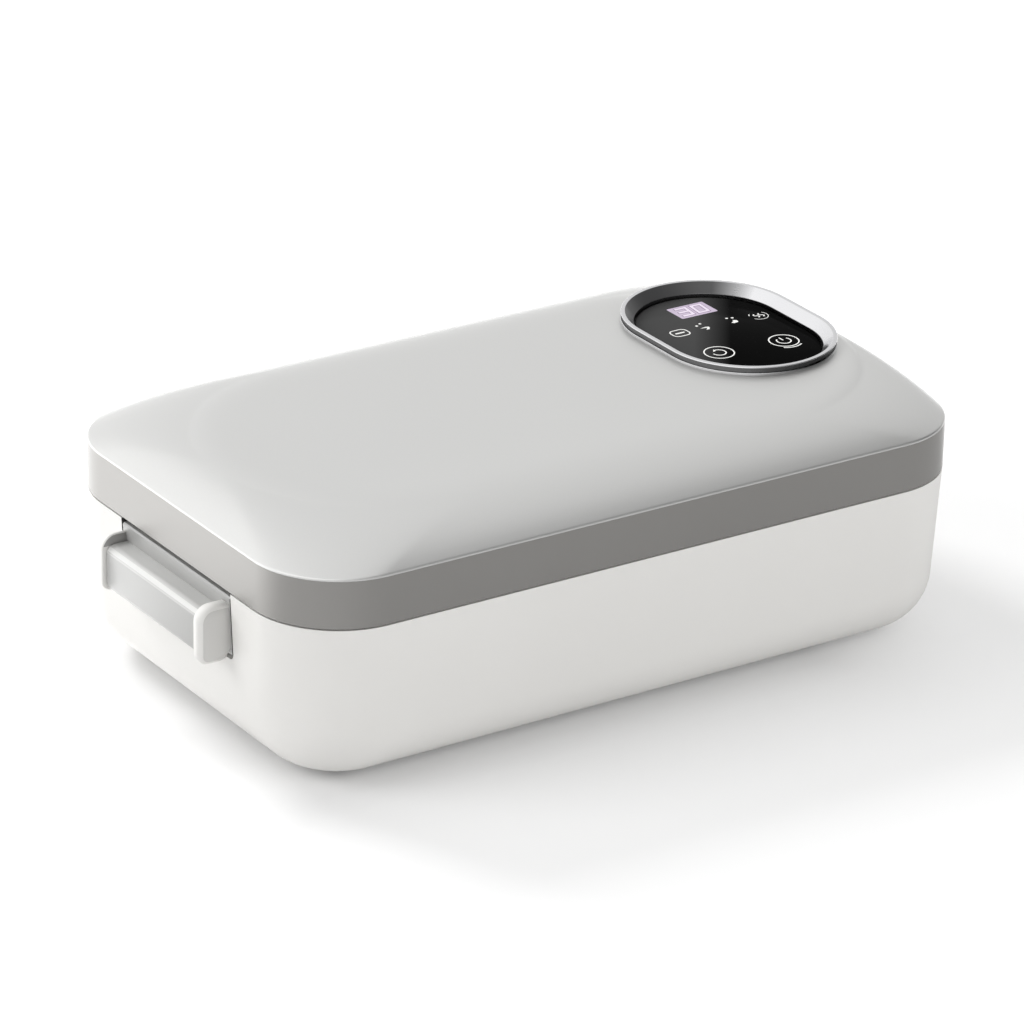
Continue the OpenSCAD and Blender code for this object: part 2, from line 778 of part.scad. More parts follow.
// Half sizes and corner radius of the crown at step t of its shoulder, drawn in by off
function crown_x0(t, off) = -body_l / 2 + off + t * shoulder_latch;
function crown_x1(t, off) = body_l / 2 - off - t * shoulder_hinge;
function crown_y(t, off) = body_w / 2 - off - t * shoulder_side;
function crown_r(t, off) = min(corner_r - off + t * crown_round, crown_y(t, off) - 2);
function crown_rise(t) = 1 - pow(1 - t, crown_power);
function crown_step(i) = pow(i / crown_levels, 1.3);

function crown_ring(t, off, z) = [for (q = [0:3]) for (k = [0:corner_steps])
    let (a = 90 * (q + k / corner_steps), r = crown_r(t, off),
        x = q == 0 || q == 3 ? crown_x1(t, off) - r : crown_x0(t, off) + r,
        y = (q < 2 ? 1 : -1) * (crown_y(t, off) - r))
    [x + r * cos(a), y + r * sin(a), z]];

// Pillow that stands on the plane z, drawn in by off and h high
module crown(off, z, h) {
    n = 4 * (corner_steps + 1);
    rings = [for (i = [0:crown_levels])
        crown_ring(crown_step(i), off, z + h * crown_rise(crown_step(i)))];
    points = [for (ring = rings) each ring];
    sides = [for (i = [0:crown_levels - 1]) for (k = [0:n - 1])
        let (a = i * n + k, b = i * n + (k + 1) % n)
        each [[b, a, a + n], [b, a + n, b + n]]];
    polyhedron(points, concat(sides, [[for (k = [0:n - 1]) k]],
        [[for (k = [n - 1:-1:0]) crown_levels * n + k]]));
}

// Height of the crown's outside above a place near a long side, counted from the shoulder alone
function crown_height(y) =
    crown_z + crown_h * crown_rise(min(1, (body_w / 2 - abs(y)) / shoulder_side));

module lid_top() {
    boss_top = crown_height(seal_mid.y + lid_screw_boss_r) - 1.2;
    color(silver) difference() {
        union() {
            difference() {
                crown(0, crown_z, crown_h);
                crown(crown_inset, crown_z - 0.01, crown_h - lid_wall);
            }
            round_sweep(body_l, body_w, corner_r)
                translate([corner_r - crown_inset, liner_top + rib_h])
                    square([skirt_t, crown_z - liner_top - rib_h + 0.5]);
            for (x = lid_screw_x, y = [-1, 1]) translate([x, y * seal_mid.y, liner_top])
                cylinder(r = lid_screw_boss_r, h = boss_top - liner_top);
            panel_slab(panel_r + collar_t, collar_z, 2.5);
        }
        panel_slab(panel_r + panel_fit, bezel_z, rim_top);
        panel_slab(collar_shelf_r, collar_z - cut, rim_top);
        for (x = lid_screw_x, y = [-1, 1]) translate([x, y * seal_mid.y, liner_top - cut])
            cylinder(r = screw_r + hold_fit, h = lid_screw_l + cut);
    }
}

module lid_knuckle_section() {
    root = body_l / 2 - band_wall / 2;
    translate([hinge_x, hinge_z]) circle(hinge_r);
    polygon([[root, band_z + 0.8], [root, hinge_z + hinge_r], [hinge_x, hinge_z + hinge_r],
        [hinge_x, hinge_z - 1], [hinge_x - hinge_r, band_z + 0.8]]);
}

module lid_band() {
    color(lid_grey) difference() {
        union() {
            round_sweep(body_l, body_w, corner_r) {
                translate([corner_r - band_wall, band_z]) square([band_wall, band_h]);
                translate([corner_r - band_wall - rib_w, liner_top]) square([rib_w + 1, rib_h]);
            }
            along_y(2 * knuckle_half) lid_knuckle_section();
            // pad that the keeper is screwed to
            translate([-body_l / 2 + 1, -keeper_half, band_z + 1])
                cube([keeper_x + body_l / 2 - 1, 2 * keeper_half, keeper_high - band_z - 1]);
        }
        rod_y(hinge_x, hinge_z, hinge_pin_r + run_fit, 2 * knuckle_half + 2);
        for (y = [-1, 1])
            rod_x(keeper_x - 2.4, y * keeper_screw_y, keeper_high - 2.4, micro_screw_r + hold_fit,
                2.4 + cut);
        // room for the keeper through the rib
        translate([keeper_x, -keeper_half - side_gap, liner_top - cut])
            cube([10, 2 * (keeper_half + side_gap), rib_h + 2 * cut]);
    }
}

module lid_liner() {
    l = body_l - 2 * liner_inset;
    w = body_w - 2 * liner_inset;
    color("whitesmoke") difference() {
        slab(l, w, corner_r - liner_inset, liner_z, liner_t);
        // shallow ceiling over the tray
        slab(2 * seal_in.x - 8, 2 * seal_in.y - 8, seal_r - 4, liner_z - cut, 1.4 + cut);
        // groove for the seal
        difference() {
            slab(2 * (seal_in.x + seal_w), 2 * (seal_in.y + seal_w), seal_r + seal_w,
                liner_z - cut, seal_groove + cut);
            slab(2 * seal_in.x, 2 * seal_in.y, seal_r, liner_z - 2 * cut, seal_groove + 4 * cut);
        }
        for (x = lid_screw_x, y = [-1, 1]) translate([x, y * seal_mid.y, 0]) {
            translate([0, 0, liner_z - cut])
                cylinder(r = head_r + 0.2, h = cut + seal_groove + head_h);
            cylinder(r = screw_r + 0.2, h = liner_top + cut);
        }
        // notch round the keeper and its pad
        translate([-body_l / 2, -keeper_half - 1, liner_z - cut])
            cube([keeper_x + keeper_t + body_l / 2 + head_h + 0.6, 2 * keeper_half + 2,
                liner_t + 2 * cut]);
    }
}

module lid_gasket() {
    root = liner_z + seal_groove;
    inner = seal_r + 0.15;
    outer = seal_r + seal_w - 0.15;
    tip = deck_z + side_gap;
    color("lightgray") round_sweep(2 * seal_in.x, 2 * seal_in.y, seal_r)
        polygon([[inner, root], [outer, root], [outer, liner_z - 0.4], [outer - 1.2, tip],
            [inner + 1.2, tip], [inner, liner_z - 0.4]]);
}

module lid_screws() {
    color(zinc) for (x = lid_screw_x, y = [-1, 1]) translate([x, y * seal_mid.y, 0])
        screw_up(liner_z + seal_groove + head_h, screw_r, lid_screw_l);
}

module latch_keeper() {
    slot_low = tooth_z - 0.3;
    slot_high = tooth_z + tooth_h + 0.6;
    color(steel) difference() {
        along_x(keeper_x, keeper_t) {
            translate([-keeper_half, keeper_low]) square([2 * keeper_half, keeper_high - keeper_low]);
        }
        translate([keeper_x - cut, -tooth_half - 0.8, slot_low])
            cube([keeper_t + 2 * cut, 2 * (tooth_half + 0.8), slot_high - slot_low]);
        for (y = [-1, 1]) rod_x(keeper_x - cut, y * keeper_screw_y, keeper_high - 2.4,
            micro_screw_r + 0.15, keeper_t + 2 * cut);
    }
}

module keeper_screws() {
    color(zinc) for (y = [-1, 1]) {
        rod_x(keeper_x - 2, y * keeper_screw_y, keeper_high - 2.4, micro_screw_r, keeper_t + 2);
        rod_x(keeper_x + keeper_t, y * keeper_screw_y, keeper_high - 2.4, 1.9, 1.2);
    }
}

// ---- control panel ----

module panel_posts() {
    translate([panel_x, panel_y, 0])
        for (x = [-1, 1], y = [-1, 1])
            translate([x * post_mid_r * sin(45), y * (panel_straight + post_mid_r * sin(45)), 0])
                children();
}

module panel_bezel() {
    lip = 0.4;
    color("lightgray") difference() {
        union() {
            panel_sweep() polygon([[panel_r, bezel_z], [panel_r, rim_top - lip],
                [panel_r - lip, rim_top], [panel_r - 2.5 * lip, rim_top],
                [panel_r - 2.5 * lip - bezel_slope, glass_top + 0.7], [glass_r + 0.2, glass_top + 0.5],
                [glass_r + 0.2, glass_z], [shelf_r, glass_z], [shelf_r, bezel_z]]);
            panel_posts() translate([0, 0, board_top]) cylinder(r = post_r, h = post_l + 0.5);
        }
        panel_posts() translate([0, 0, board_top - cut])
            cylinder(r = micro_screw_r + hold_fit, h = 3.2 + cut);
    }
}

module panel_glass() {
    color("black") panel_slab(glass_r, glass_z, glass_t);
}

module display_module() {
    color("plum") translate([panel_x + display_at.x, panel_y + display_at.y, board_top])
        translate([-display_size.x / 2, -display_size.y / 2, 0])
            cube([display_size.x, display_size.y, glass_z - board_top - 0.1]);
}

module control_board() {
    color("darkgreen") difference() {
        panel_slab(panel_r - 2, board_top - panel_board_t, panel_board_t);
        panel_posts() translate([0, 0, board_top - panel_board_t - cut])
            cylinder(r = micro_screw_r + 0.15, h = panel_board_t + 2 * cut);
    }
}

module control_board_screws() {
    color(zinc) panel_posts() translate([0, 0, board_top - panel_board_t]) {
        cylinder(r = micro_screw_r, h = panel_board_t + 3);
        translate([0, 0, -1]) cylinder(r = 1.9, h = 1);
    }
}

module key_springs() {
    color(steel) for (p = [power_at, mode_at])
        translate([panel_x + p.x, panel_y + p.y, board_top]) difference() {
            cylinder(r = key_r, h = glass_z - board_top);
            translate([0, 0, -cut]) cylinder(r = key_r - 0.8, h = glass_z - board_top + 2 * cut);
        }
}

module buzzer() {
    color("dimgray") translate([panel_x, panel_y + 8, board_top - panel_board_t - 4.5])
        difference() {
            cylinder(r = 4.5, h = 4.5);
            translate([0, 0, -cut]) cylinder(r = 0.8, h = 1 + cut);
        }
}

// ---- latch ----

module latch_plate_section() {
    polygon([[-side_x(pivot_z) + 0.1, pivot_z],
        [-side_x(latch_top - 0.5) + 0.1, latch_top - 0.5],
        [-side_x(latch_top) + 0.6, latch_top],
        [-side_x(latch_top) + latch_t, latch_top], [-side_x(pivot_z) + latch_t, pivot_z]]);
}

module latch_plate() {
    root = -side_x(tooth_z) + latch_t - 0.6;
    color([0.86, 0.86, 0.85]) difference() {
        union() {
            along_y(2 * plate_half) latch_plate_section();
            // knuckle, shorter than the plate so that it clears the recess's rounded corners
            rod_y(pivot_x, pivot_z, latch_knuckle_r, 2 * (recess_half - recess_corner_r));
            along_y(2 * tooth_half) polygon([[root, tooth_z], [tooth_x, tooth_z],
                [tooth_x, tooth_z + 0.6], [root, tooth_z + tooth_h]]);
        }
        rod_y(pivot_x, pivot_z, latch_pin_r + run_fit, 2 * plate_half + 2);
        for (y = [-1, 1]) rod_x(-body_l / 2 - cut, y * grip_screw_y, grip_z + grip_h * 0.62,
            micro_screw_r + 0.15, 8);
    }
}

// Section of a piece that stands out from the plate: out from the face, up from low
module proud_section(out, low, high, top_r, low_r, heel) {
    seat = low + heel * 1.4;
    far = -body_l / 2 - out;
    difference() {
        polygon([[-side_x(low) + 0.1 - heel, low], [far, low], [far, high],
            [-side_x(high) + 0.1, high], [-side_x(seat) + 0.1, seat]]);
        difference() {
            translate([far - cut, high - top_r]) square(top_r + cut);
            translate([far + top_r, high - top_r]) circle(top_r);
        }
        difference() {
            translate([far - cut, low - cut]) square(low_r + cut);
            translate([far + low_r, low + low_r]) circle(low_r);
        }
    }
}

module latch_grip() {
    color([0.80, 0.80, 0.79]) difference() {
        translate([0, (grip_front + grip_back) / 2, 0]) along_y(grip_back - grip_front)
            proud_section(grip_out, grip_z, grip_z + grip_h, 3, 2.6, 2.4);
        for (y = [-1, 1]) rod_x(-side_x(grip_z) - 5, y * grip_screw_y, grip_z + grip_h * 0.62,
            micro_screw_r + hold_fit, 8);
    }
}

module latch_cap(t, out, edge) {
    heel = 2.9;
    hull($fn = 32) {
        along_y(t - 2 * edge) proud_section(out, cap_z, cap_z + cap_h, 4.6, 3, heel);
        along_y(t) proud_section(out - edge, cap_z + edge, cap_z + cap_h - edge, 4.6 - edge,
            3 - edge, heel - edge / 1.4);
    }
}

// A thick cap with a broad rounded rim in front, a thin one at the back
module latch_caps() {
    color("white") {
        translate([0, cap_t / 2 - grip_half, 0]) latch_cap(cap_t, cap_out, 1);
        translate([0, grip_half - thin_cap_t / 2, 0]) latch_cap(thin_cap_t, thin_cap_out, 0.3);
    }
}

module grip_screws() {
    color(zinc) for (y = [-1, 1]) {
        z = grip_z + grip_h * 0.62;
        back = -side_x(z) + latch_t + 0.1;
        rod_x(back - latch_t - 4, y * grip_screw_y, z, micro_screw_r, latch_t + 4.1);
        rod_x(back, y * grip_screw_y, z, 1.8, 0.8);
    }
}

outer_shell();
bottom_cover();
cover_screws();
rubber_feet();
case_screws();
deck_frame();
heating_well();
food_tray();
tray_divider();
heat_spreader();
heating_element();
element_clamps();
clamp_screws();
thermostat();
thermal_fuse();
fuse_clip();
insulation_pad();
power_inlet();
inlet_pins();
power_board();
power_board_screws();
power_relay();
power_capacitor();
hinge_pin();
latch_pin();
lid_top();
lid_band();
lid_liner();
lid_gasket();
lid_screws();
latch_keeper();
keeper_screws();
panel_bezel();
panel_glass();
display_module();
control_board();
control_board_screws();
key_springs();
buzzer();
latch_plate();
latch_grip();
latch_caps();
grip_screws();
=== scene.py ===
"""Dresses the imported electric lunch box: lid, panel, latch, body, tray and their finishes."""
import json
import math

import bmesh
import bpy
from bpy.props import FloatProperty, FloatVectorProperty, IntProperty, PointerProperty
from mathutils import Matrix, Vector

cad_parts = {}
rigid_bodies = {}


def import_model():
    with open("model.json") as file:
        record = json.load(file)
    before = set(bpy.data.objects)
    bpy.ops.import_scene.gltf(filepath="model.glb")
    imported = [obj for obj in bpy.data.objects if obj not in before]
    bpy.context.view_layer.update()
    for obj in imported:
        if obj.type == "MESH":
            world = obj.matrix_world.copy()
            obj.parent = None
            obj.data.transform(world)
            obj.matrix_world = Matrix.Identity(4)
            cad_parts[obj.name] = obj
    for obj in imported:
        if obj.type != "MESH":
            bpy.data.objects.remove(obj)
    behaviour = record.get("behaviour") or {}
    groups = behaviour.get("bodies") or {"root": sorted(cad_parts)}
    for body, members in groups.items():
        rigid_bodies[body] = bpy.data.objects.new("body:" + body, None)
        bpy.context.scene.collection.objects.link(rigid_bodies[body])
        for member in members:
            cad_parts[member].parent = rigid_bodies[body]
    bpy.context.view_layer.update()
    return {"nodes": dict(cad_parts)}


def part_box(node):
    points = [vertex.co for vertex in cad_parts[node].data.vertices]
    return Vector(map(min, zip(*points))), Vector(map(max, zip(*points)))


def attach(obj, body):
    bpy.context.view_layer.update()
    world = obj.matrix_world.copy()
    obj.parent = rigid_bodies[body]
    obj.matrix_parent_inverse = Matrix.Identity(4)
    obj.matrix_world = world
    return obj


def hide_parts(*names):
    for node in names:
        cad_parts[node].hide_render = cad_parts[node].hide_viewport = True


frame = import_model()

bl_info = {
    "name": "Electric lunch box",
    "version": (1, 0, 0),
    "blender": (4, 5, 0),
    "location": "View3D > Sidebar > Lunch Box",
    "description": "Builds the visible pieces of an electric lunch box round its packed frame",
    "category": "Object",
}

MM = 0.001
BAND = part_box("lid_band")
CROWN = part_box("lid_top")
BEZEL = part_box("panel_bezel")
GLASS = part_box("panel_glass")
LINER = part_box("lid_liner")
HALF_L = -BAND[0].x
HALF_W = BAND[1].y
GLASS_CENTRE = (GLASS[0] + GLASS[1]) / 2
GLASS_TOP = GLASS[1].z
BEZEL_CENTRE = (BEZEL[0] + BEZEL[1]) / 2
BEZEL_RADIUS = (BEZEL[1].x - BEZEL[0].x) / 2
BEZEL_STRAIGHT = (BEZEL[1].y - BEZEL[0].y) / 2 - BEZEL_RADIUS


# ---- sizes and colours that a user may change ----


def length(name, description, default):
    return FloatProperty(name=name, description=description, default=default, unit="LENGTH")


def lengths(name, description, *default):
    return FloatVectorProperty(name=name, description=description, default=default,
                               size=len(default), unit="LENGTH")


def base_colour(name, description, *default):
    return FloatVectorProperty(name=name, description=description, default=default, size=3,
                               subtype="COLOR")


class LidSizes(bpy.types.PropertyGroup):
    """Shape of the lid's crown"""

    corner: length("Corner Radius", "Corner radius of the body seen from above", 28 * MM)
    corner_growth: length(
        "Corner Growth", "Growth of the corner radius over the shoulder", 50 * MM)
    shoulder_latch: length(
        "Latch Shoulder", "Width of the shoulder at the latch end", 27 * MM)
    shoulder_hinge: length(
        "Hinge Shoulder", "Width of the shoulder at the hinge end", 12 * MM)
    shoulder_side: length(
        "Side Shoulder", "Width of the shoulder along the long sides", 32 * MM)
    fullness: FloatProperty(
        name="Fullness", description="Power of the shoulder's curve", default=3.0, min=1.2)
    seam: length("Seam", "Fine gap between the band and the crown", 0.04 * MM)
    wall: length("Wall", "Thickness of the lid's top", 2.2 * MM)
    skirt_inset: length(
        "Skirt Inset", "Distance of the skirt from the lid's outside", 2.6 * MM)
    skirt_wall: length("Skirt Wall", "Thickness of the skirt inside the band", 1.8 * MM)
    edge_wall: length("Edge Wall", "Height of the upright edge above the band", 0.3 * MM)
    edge_round: length(
        "Edge Round", "Radius between the upright edge and the shoulder", 0.8 * MM)
    rings: IntProperty(
        name="Rings", description="Levels of faces over the shoulder", default=44, min=8)
    corner_steps: IntProperty(
        name="Corner Steps", description="Faces round each corner", default=22, min=4)


class PanelSizes(bpy.types.PropertyGroup):
    """Sizes of the touch panel and what shows on it"""

    rim: length("Rim", "Width of the bezel's flat rim", 1.0 * MM)
    slope: length("Slope", "Width of the bezel's inner slope", 2.9 * MM)
    foot: length("Foot", "Height of the bright foot above the crown", 0.4 * MM)
    side_inset: length("Side Inset", "Set-back of the dark side below the rim", 0.45 * MM)
    shadow_step: length(
        "Shadow Step", "Height of the dark step between slope and glass", 1.1 * MM)
    glass_gap: length("Glass Gap", "Shadow gap round the glass", 0.35 * MM)
    ink: length("Ink", "Height of a printed mark above the glass", 0.04 * MM)
    window: lengths("Window", "Length and width of the lit window", 13.6 * MM, 9.0 * MM)
    window_at: lengths(
        "Window Place", "Place of the lit window from the panel's centre", 2.3 * MM, 22.7 * MM)
    key_radius: length("Key Radius", "Radius of a key's printed ring", 4.7 * MM)
    mode_at: lengths(
        "Mode Key", "Place of the mode key from the panel's centre", -10.6 * MM, -10.2 * MM)
    power_at: lengths(
        "Power Key", "Place of the power key from the panel's centre", 12.4 * MM, -12.4 * MM)


class Colours(bpy.types.PropertyGroup):
    """Base colours of the finishes, linear"""

    crown: base_colour("Crown", "Silver paint of the lid's crown", 0.64, 0.64, 0.63)
    band: base_colour("Band", "Silver paint of the lid's band", 0.311, 0.304, 0.293)
    body: base_colour("Body", "White plastic of the body", 0.90, 0.89, 0.865)
    latch: base_colour("Latch", "Pale silver paint of the latch", 0.468, 0.468, 0.459)
    trim: base_colour("Trim", "Plating of the bezel", 0.62, 0.62, 0.63)
    window: base_colour("Window", "Light of the display window", 0.52, 0.43, 0.565)
    ink: base_colour("Ink", "Pale ink of the printed marks", 0.72, 0.72, 0.70)


class StageSizes(bpy.types.PropertyGroup):
    """Camera and floor"""

    eye: lengths("Eye", "Place of the camera", -0.838635, -1.248195, 0.707767)
    focal_pixels: FloatProperty(
        name="Focal Length", description="Focal length in pixels of a 1024 pixel frame",
        default=5416.23)
    floor: length("Floor", "Radius of the floor", 5.0)


# ---- shader helpers ----


class Wire:
    """A socket that ordinary arithmetic can be written on"""

    def __init__(self, tree, socket):
        self.tree = tree
        self.socket = socket

    def _math(self, operation, *values):
        node = self.tree.nodes.new("ShaderNodeMath")
        node.operation = operation
        for slot, value in zip(node.inputs, values):
            if isinstance(value, Wire):
                self.tree.links.new(value.socket, slot)
            else:
                slot.default_value = value
        return Wire(self.tree, node.outputs[0])

    def __add__(self, other):
        return self._math("ADD", self, other)

    def __radd__(self, other):
        return self._math("ADD", other, self)

    def __sub__(self, other):
        return self._math("SUBTRACT", self, other)

    def __rsub__(self, other):
        return self._math("SUBTRACT", other, self)

    def __mul__(self, other):
        return self._math("MULTIPLY", self, other)

    def __rmul__(self, other):
        return self._math("MULTIPLY", other, self)

    def __truediv__(self, other):
        return self._math("DIVIDE", self, other)

    def __pow__(self, other):
        return self._math("POWER", self, other)

    def above(self, limit):
        """1 where the value is past the limit, or else 0"""
        return self._math("GREATER_THAN", self, limit)

    def beyond(self, limit):
        """How far the size of the value is past the limit"""
        return self._math("MAXIMUM", self._math("ABSOLUTE", self) - limit, 0.0)

    def clamped(self):
        """The value kept between 0 and 1"""
        return self._math("MINIMUM", self._math("MAXIMUM", self, 0.0), 1.0)


class Nodes:
    """A node tree under construction, with one method for any node"""

    def __init__(self, tree):
        self.tree = tree
        tree.nodes.clear()

    def add(self, kind, settings=None, output=0, numbered=(), **sockets):
        """A node of this type: its settings first, then its sockets' values or links.
        Sockets that share a name or take several links are given by their number."""
        node = self.tree.nodes.new(kind if "Node" in kind else "ShaderNode" + kind)
        for key, value in (settings or {}).items():
            setattr(node, key, value)
        named = [(key.replace("_", " "), value) for key, value in sockets.items()]
        for key, value in (*numbered, *named):
            if isinstance(value, Wire):
                self.tree.links.new(value.socket, node.inputs[key])
            else:
                node.inputs[key].default_value = value
        return node if output is None else Wire(self.tree, node.outputs[output])

    def split(self, vector):
        """The three parts of a vector"""
        node = self.add("SeparateXYZ", output=None, Vector=vector)
        return [Wire(self.tree, node.outputs[axis]) for axis in "XYZ"]

    def rays(self):
        """1 for what the camera sees itself or through glass, and 1 for what mirrors show"""
        node = self.add("LightPath", output=None)
        camera, glass, mirror = (Wire(self.tree, node.outputs[name]) for name in (
            "Is Camera Ray", "Is Transmission Ray", "Is Glossy Ray"))
        return (camera + glass).clamped(), mirror


class Finish(Nodes):
    """A material under construction, which reads places on the object"""

    def __init__(self, name):
        self.material = bpy.data.materials.new(name)
        self.material.use_nodes = True
        super().__init__(self.material.node_tree)

    def place(self, scale=(1.0, 1.0, 1.0)):
        coords = self.add("TexCoord", output="Object")
        return self.add("Mapping", Vector=coords, Scale=scale)

    def noise(self, scale, detail=2.0, rough=0.5, stretch=(1.0, 1.0, 1.0)):
        """Noise from 0 to 1, drawn out along the directions whose stretch is small"""
        return self.add("TexNoise", Vector=self.place(stretch), Scale=scale, Detail=detail,
                        Roughness=rough)

    def blend(self, factor, a, b):
        """Colour a, turning into colour b as the factor goes from 0 to 1"""
        a, b = (c if isinstance(c, Wire) else (*c[:3], 1.0) for c in (a, b))
        return self.add("Mix", {"data_type": "RGBA"}, 2, ((0, factor), (6, a), (7, b)))

    def bump(self, height, strength, distance, **normal):
        """Fine relief; a further Normal lets one lie on another"""
        return self.add("Bump", Height=height, Strength=strength, Distance=distance, **normal)

    def shade(self, **sockets):
        return self.out(self.add("BsdfPrincipled", **sockets))

    def out(self, surface):
        self.add("OutputMaterial", output=None, Surface=surface)
        return self.material


def grey(value):
    """A neutral colour, linear"""
    return (value, value, value, 1.0)


def tone(colour, factor):
    """The colour made lighter or darker"""
    return tuple(min(1.0, channel * factor) for channel in colour[:3]) + (1.0,)


# ---- finishes ----


def silver_paint(name, colour, metallic, roughness):
    """Sprayed silver: fine flake, faint orange peel and a slow cloud in the tone"""
    f = Finish(name)
    flake = f.noise(5200.0, 1.0)
    cloud = f.noise(9.0, 2.0)
    peel = f.noise(420.0, 2.0)
    sparkle = ((flake - 0.5) * 0.55 + 0.5).clamped()
    base = f.blend(sparkle, tone(colour, 0.90), tone(colour, 1.10))
    base = f.blend((cloud - 0.35) * 0.5, base, tone(colour, 0.96))
    rough = roughness + (flake - 0.5) * 0.10 + (cloud - 0.5) * 0.05
    grain = f.bump(flake, 0.05, 0.00005)
    normal = f.bump(peel, 0.06, 0.0002, Normal=grain)
    return f.shade(Base_Color=base, Metallic=metallic, Roughness=rough, Coat_Weight=0.15,
                   Coat_Roughness=0.12, Normal=normal)


def moulded_plastic(name, colour, roughness=0.42, texture=0.10):
    """Satin moulded plastic: fine eroded grain, slow tone changes, slight scuffs"""
    f = Finish(name)
    grain = f.noise(2600.0, 3.0)
    cloud = f.noise(14.0, 3.0)
    scuff = f.noise(160.0, 4.0, 0.7, (1.0, 1.0, 6.0)).above(0.68)
    base = f.blend(cloud, tone(colour, 0.97), tone(colour, 1.02))
    rough = roughness + (cloud - 0.5) * 0.08 + (grain - 0.5) * 0.08 + scuff * 0.04
    return f.shade(Base_Color=base, Roughness=rough, Normal=f.bump(grain, texture, 0.0001))


def bright_trim(name, colour, roughness=0.19):
    """Plated trim with fine polishing marks"""
    f = Finish(name)
    marks = f.noise(700.0, 3.0, 0.6, (1.0, 1.0, 8.0))
    cloud = f.noise(30.0)
    rough = roughness + (marks - 0.5) * 0.08 + (cloud - 0.5) * 0.05
    base = f.blend(cloud, tone(colour, 0.95), tone(colour, 1.03))
    return f.shade(Base_Color=base, Metallic=1.0, Roughness=rough,
                   Normal=f.bump(marks, 0.04, 0.0001))


def painted_reflection_trim(name, colour):
    """Plated trim with a painted reflection that darkens it over the arc at the panel's far end"""
    f = Finish(name)
    marks = f.noise(700.0, 3.0, 0.6, (1.0, 1.0, 8.0))
    x, y, _ = f.split(f.place())
    x, y = x - BEZEL_CENTRE.x, y - (BEZEL_CENTRE.y + BEZEL_STRAIGHT)
    reach = (x * x + y * y) ** 0.5
    # painted reflection: the slope turns darker, rougher and less metallic over the far arc
    shade = ((y / reach - 0.08 * (x / reach) - 0.30) * 2.2).clamped()
    base = f.blend(shade, tone(colour, 0.98), tone(colour, 0.13))
    rough = 0.2 + (marks - 0.5) * 0.08 + shade * 0.15
    return f.shade(Base_Color=base, Metallic=1.0 - shade * 0.85, Roughness=rough,
                   Normal=f.bump(marks, 0.04, 0.0001))


def brushed_steel(name, stretch):
    """Drawn sheet steel with its grain along the stretched direction"""
    colour = (0.60, 0.60, 0.59)
    f = Finish(name)
    grain = f.noise(2400.0, 3.0, 0.6, stretch)
    cloud = f.noise(22.0, 2.0)
    base = f.blend(grain, tone(colour, 0.86), tone(colour, 1.10))
    rough = 0.30 + (grain - 0.5) * 0.22 + (cloud - 0.5) * 0.10
    return f.shade(Base_Color=base, Metallic=1.0, Roughness=rough,
                   Normal=f.bump(grain, 0.12, 0.00006))


def plated_metal(name, colour, roughness=0.34):
    """Plated or rolled small parts with faint mottling"""
    f = Finish(name)
    mottle = f.noise(900.0, 3.0)
    base = f.blend(mottle, tone(colour, 0.85), tone(colour, 1.08))
    rough = roughness + (mottle - 0.5) * 0.20
    return f.shade(Base_Color=base, Metallic=1.0, Roughness=rough,
                   Normal=f.bump(mottle, 0.06, 0.0001))


def soft_rubber(name, colour, roughness=0.68):
    """Matte rubber or silicone with a dusty grain"""
    f = Finish(name)
    dust = f.noise(1500.0, 4.0)
    cloud = f.noise(40.0, 2.0)
    base = f.blend(cloud, tone(colour, 0.90), tone(colour, 1.08))
    rough = roughness + (dust - 0.5) * 0.20
    return f.shade(Base_Color=base, Roughness=rough, Normal=f.bump(dust, 0.25, 0.0001))


def dark_glass(name):
    """Polished black window: a grey painted reflection over its back corner, dust and wiping marks
    """
    f = Finish(name)
    wipe = f.noise(60.0, 3.0, 0.6, (0.4, 1.6, 1.0))
    dust = f.noise(1800.0, 1.0).above(0.74)
    x, y, _ = f.split(f.place())
    # painted reflection: a grey band over the back corner stands for the studio seen in the glass,
    # and the real reflection is turned nearly off
    across = x - GLASS_CENTRE.x + 0.7 * (GLASS_CENTRE.y - y)
    painted_reflection = (0.07 - across * 72.0).clamped()
    base = f.blend(painted_reflection + wipe * 0.02, grey(0.003), grey(0.072))
    base = f.blend(dust * 0.25, base, grey(0.05))
    rough = 0.06 + wipe * 0.06 + dust * 0.2
    return f.shade(Base_Color=base, Roughness=rough, Specular_IOR_Level=0.002)


def lit_window(name, colour):
    """Light from behind a diffuser, a little brighter in the middle"""
    f = Finish(name)
    uneven = f.noise(260.0, 1.0)
    glow = f.blend(uneven, tone(colour, 0.90), tone(colour, 1.08))
    return f.shade(Base_Color=grey(0.02), Roughness=0.3, Emission_Color=glow,
                   Emission_Strength=1.0)


def printed_ink(name, colour):
    """Screen-printed mark with slightly uneven ink and a faint painted glow"""
    f = Finish(name)
    uneven = f.noise(3000.0, 2.0)
    base = f.blend(uneven, tone(colour, 0.85), tone(colour, 1.10))
    return f.shade(Base_Color=base, Roughness=0.4, Emission_Color=base,
                   Emission_Strength=0.45)


def circuit_board(name, colour):
    """Solder mask over copper tracks, with rows of pads"""
    f = Finish(name)
    tracks = f.add("TexBrick", {"offset": 0.5, "squash": 0.6}, output=1,
                   Vector=f.place((1.0, 1.0, 0.0)), Scale=110.0, Mortar_Size=0.018)
    speck = f.noise(2200.0, 2.0)
    base = f.blend(tracks * 0.8, colour, tone(colour, 2.2))
    base = f.blend(speck.above(0.66) * 0.6, base, (0.30, 0.33, 0.26))
    return f.shade(Base_Color=base, Roughness=0.30 + speck * 0.15,
                   Normal=f.bump(tracks, 0.3, 0.0001))


def felted_pad(name, colour):
    """Pressed fibre pad"""
    f = Finish(name)
    fibre = f.noise(900.0, 6.0, 0.75, (1.0, 0.35, 1.0))
    base = f.blend(fibre, tone(colour, 0.72), tone(colour, 1.12))
    return f.shade(Base_Color=base, Roughness=0.9, Normal=f.bump(fibre, 0.8, 0.0004))


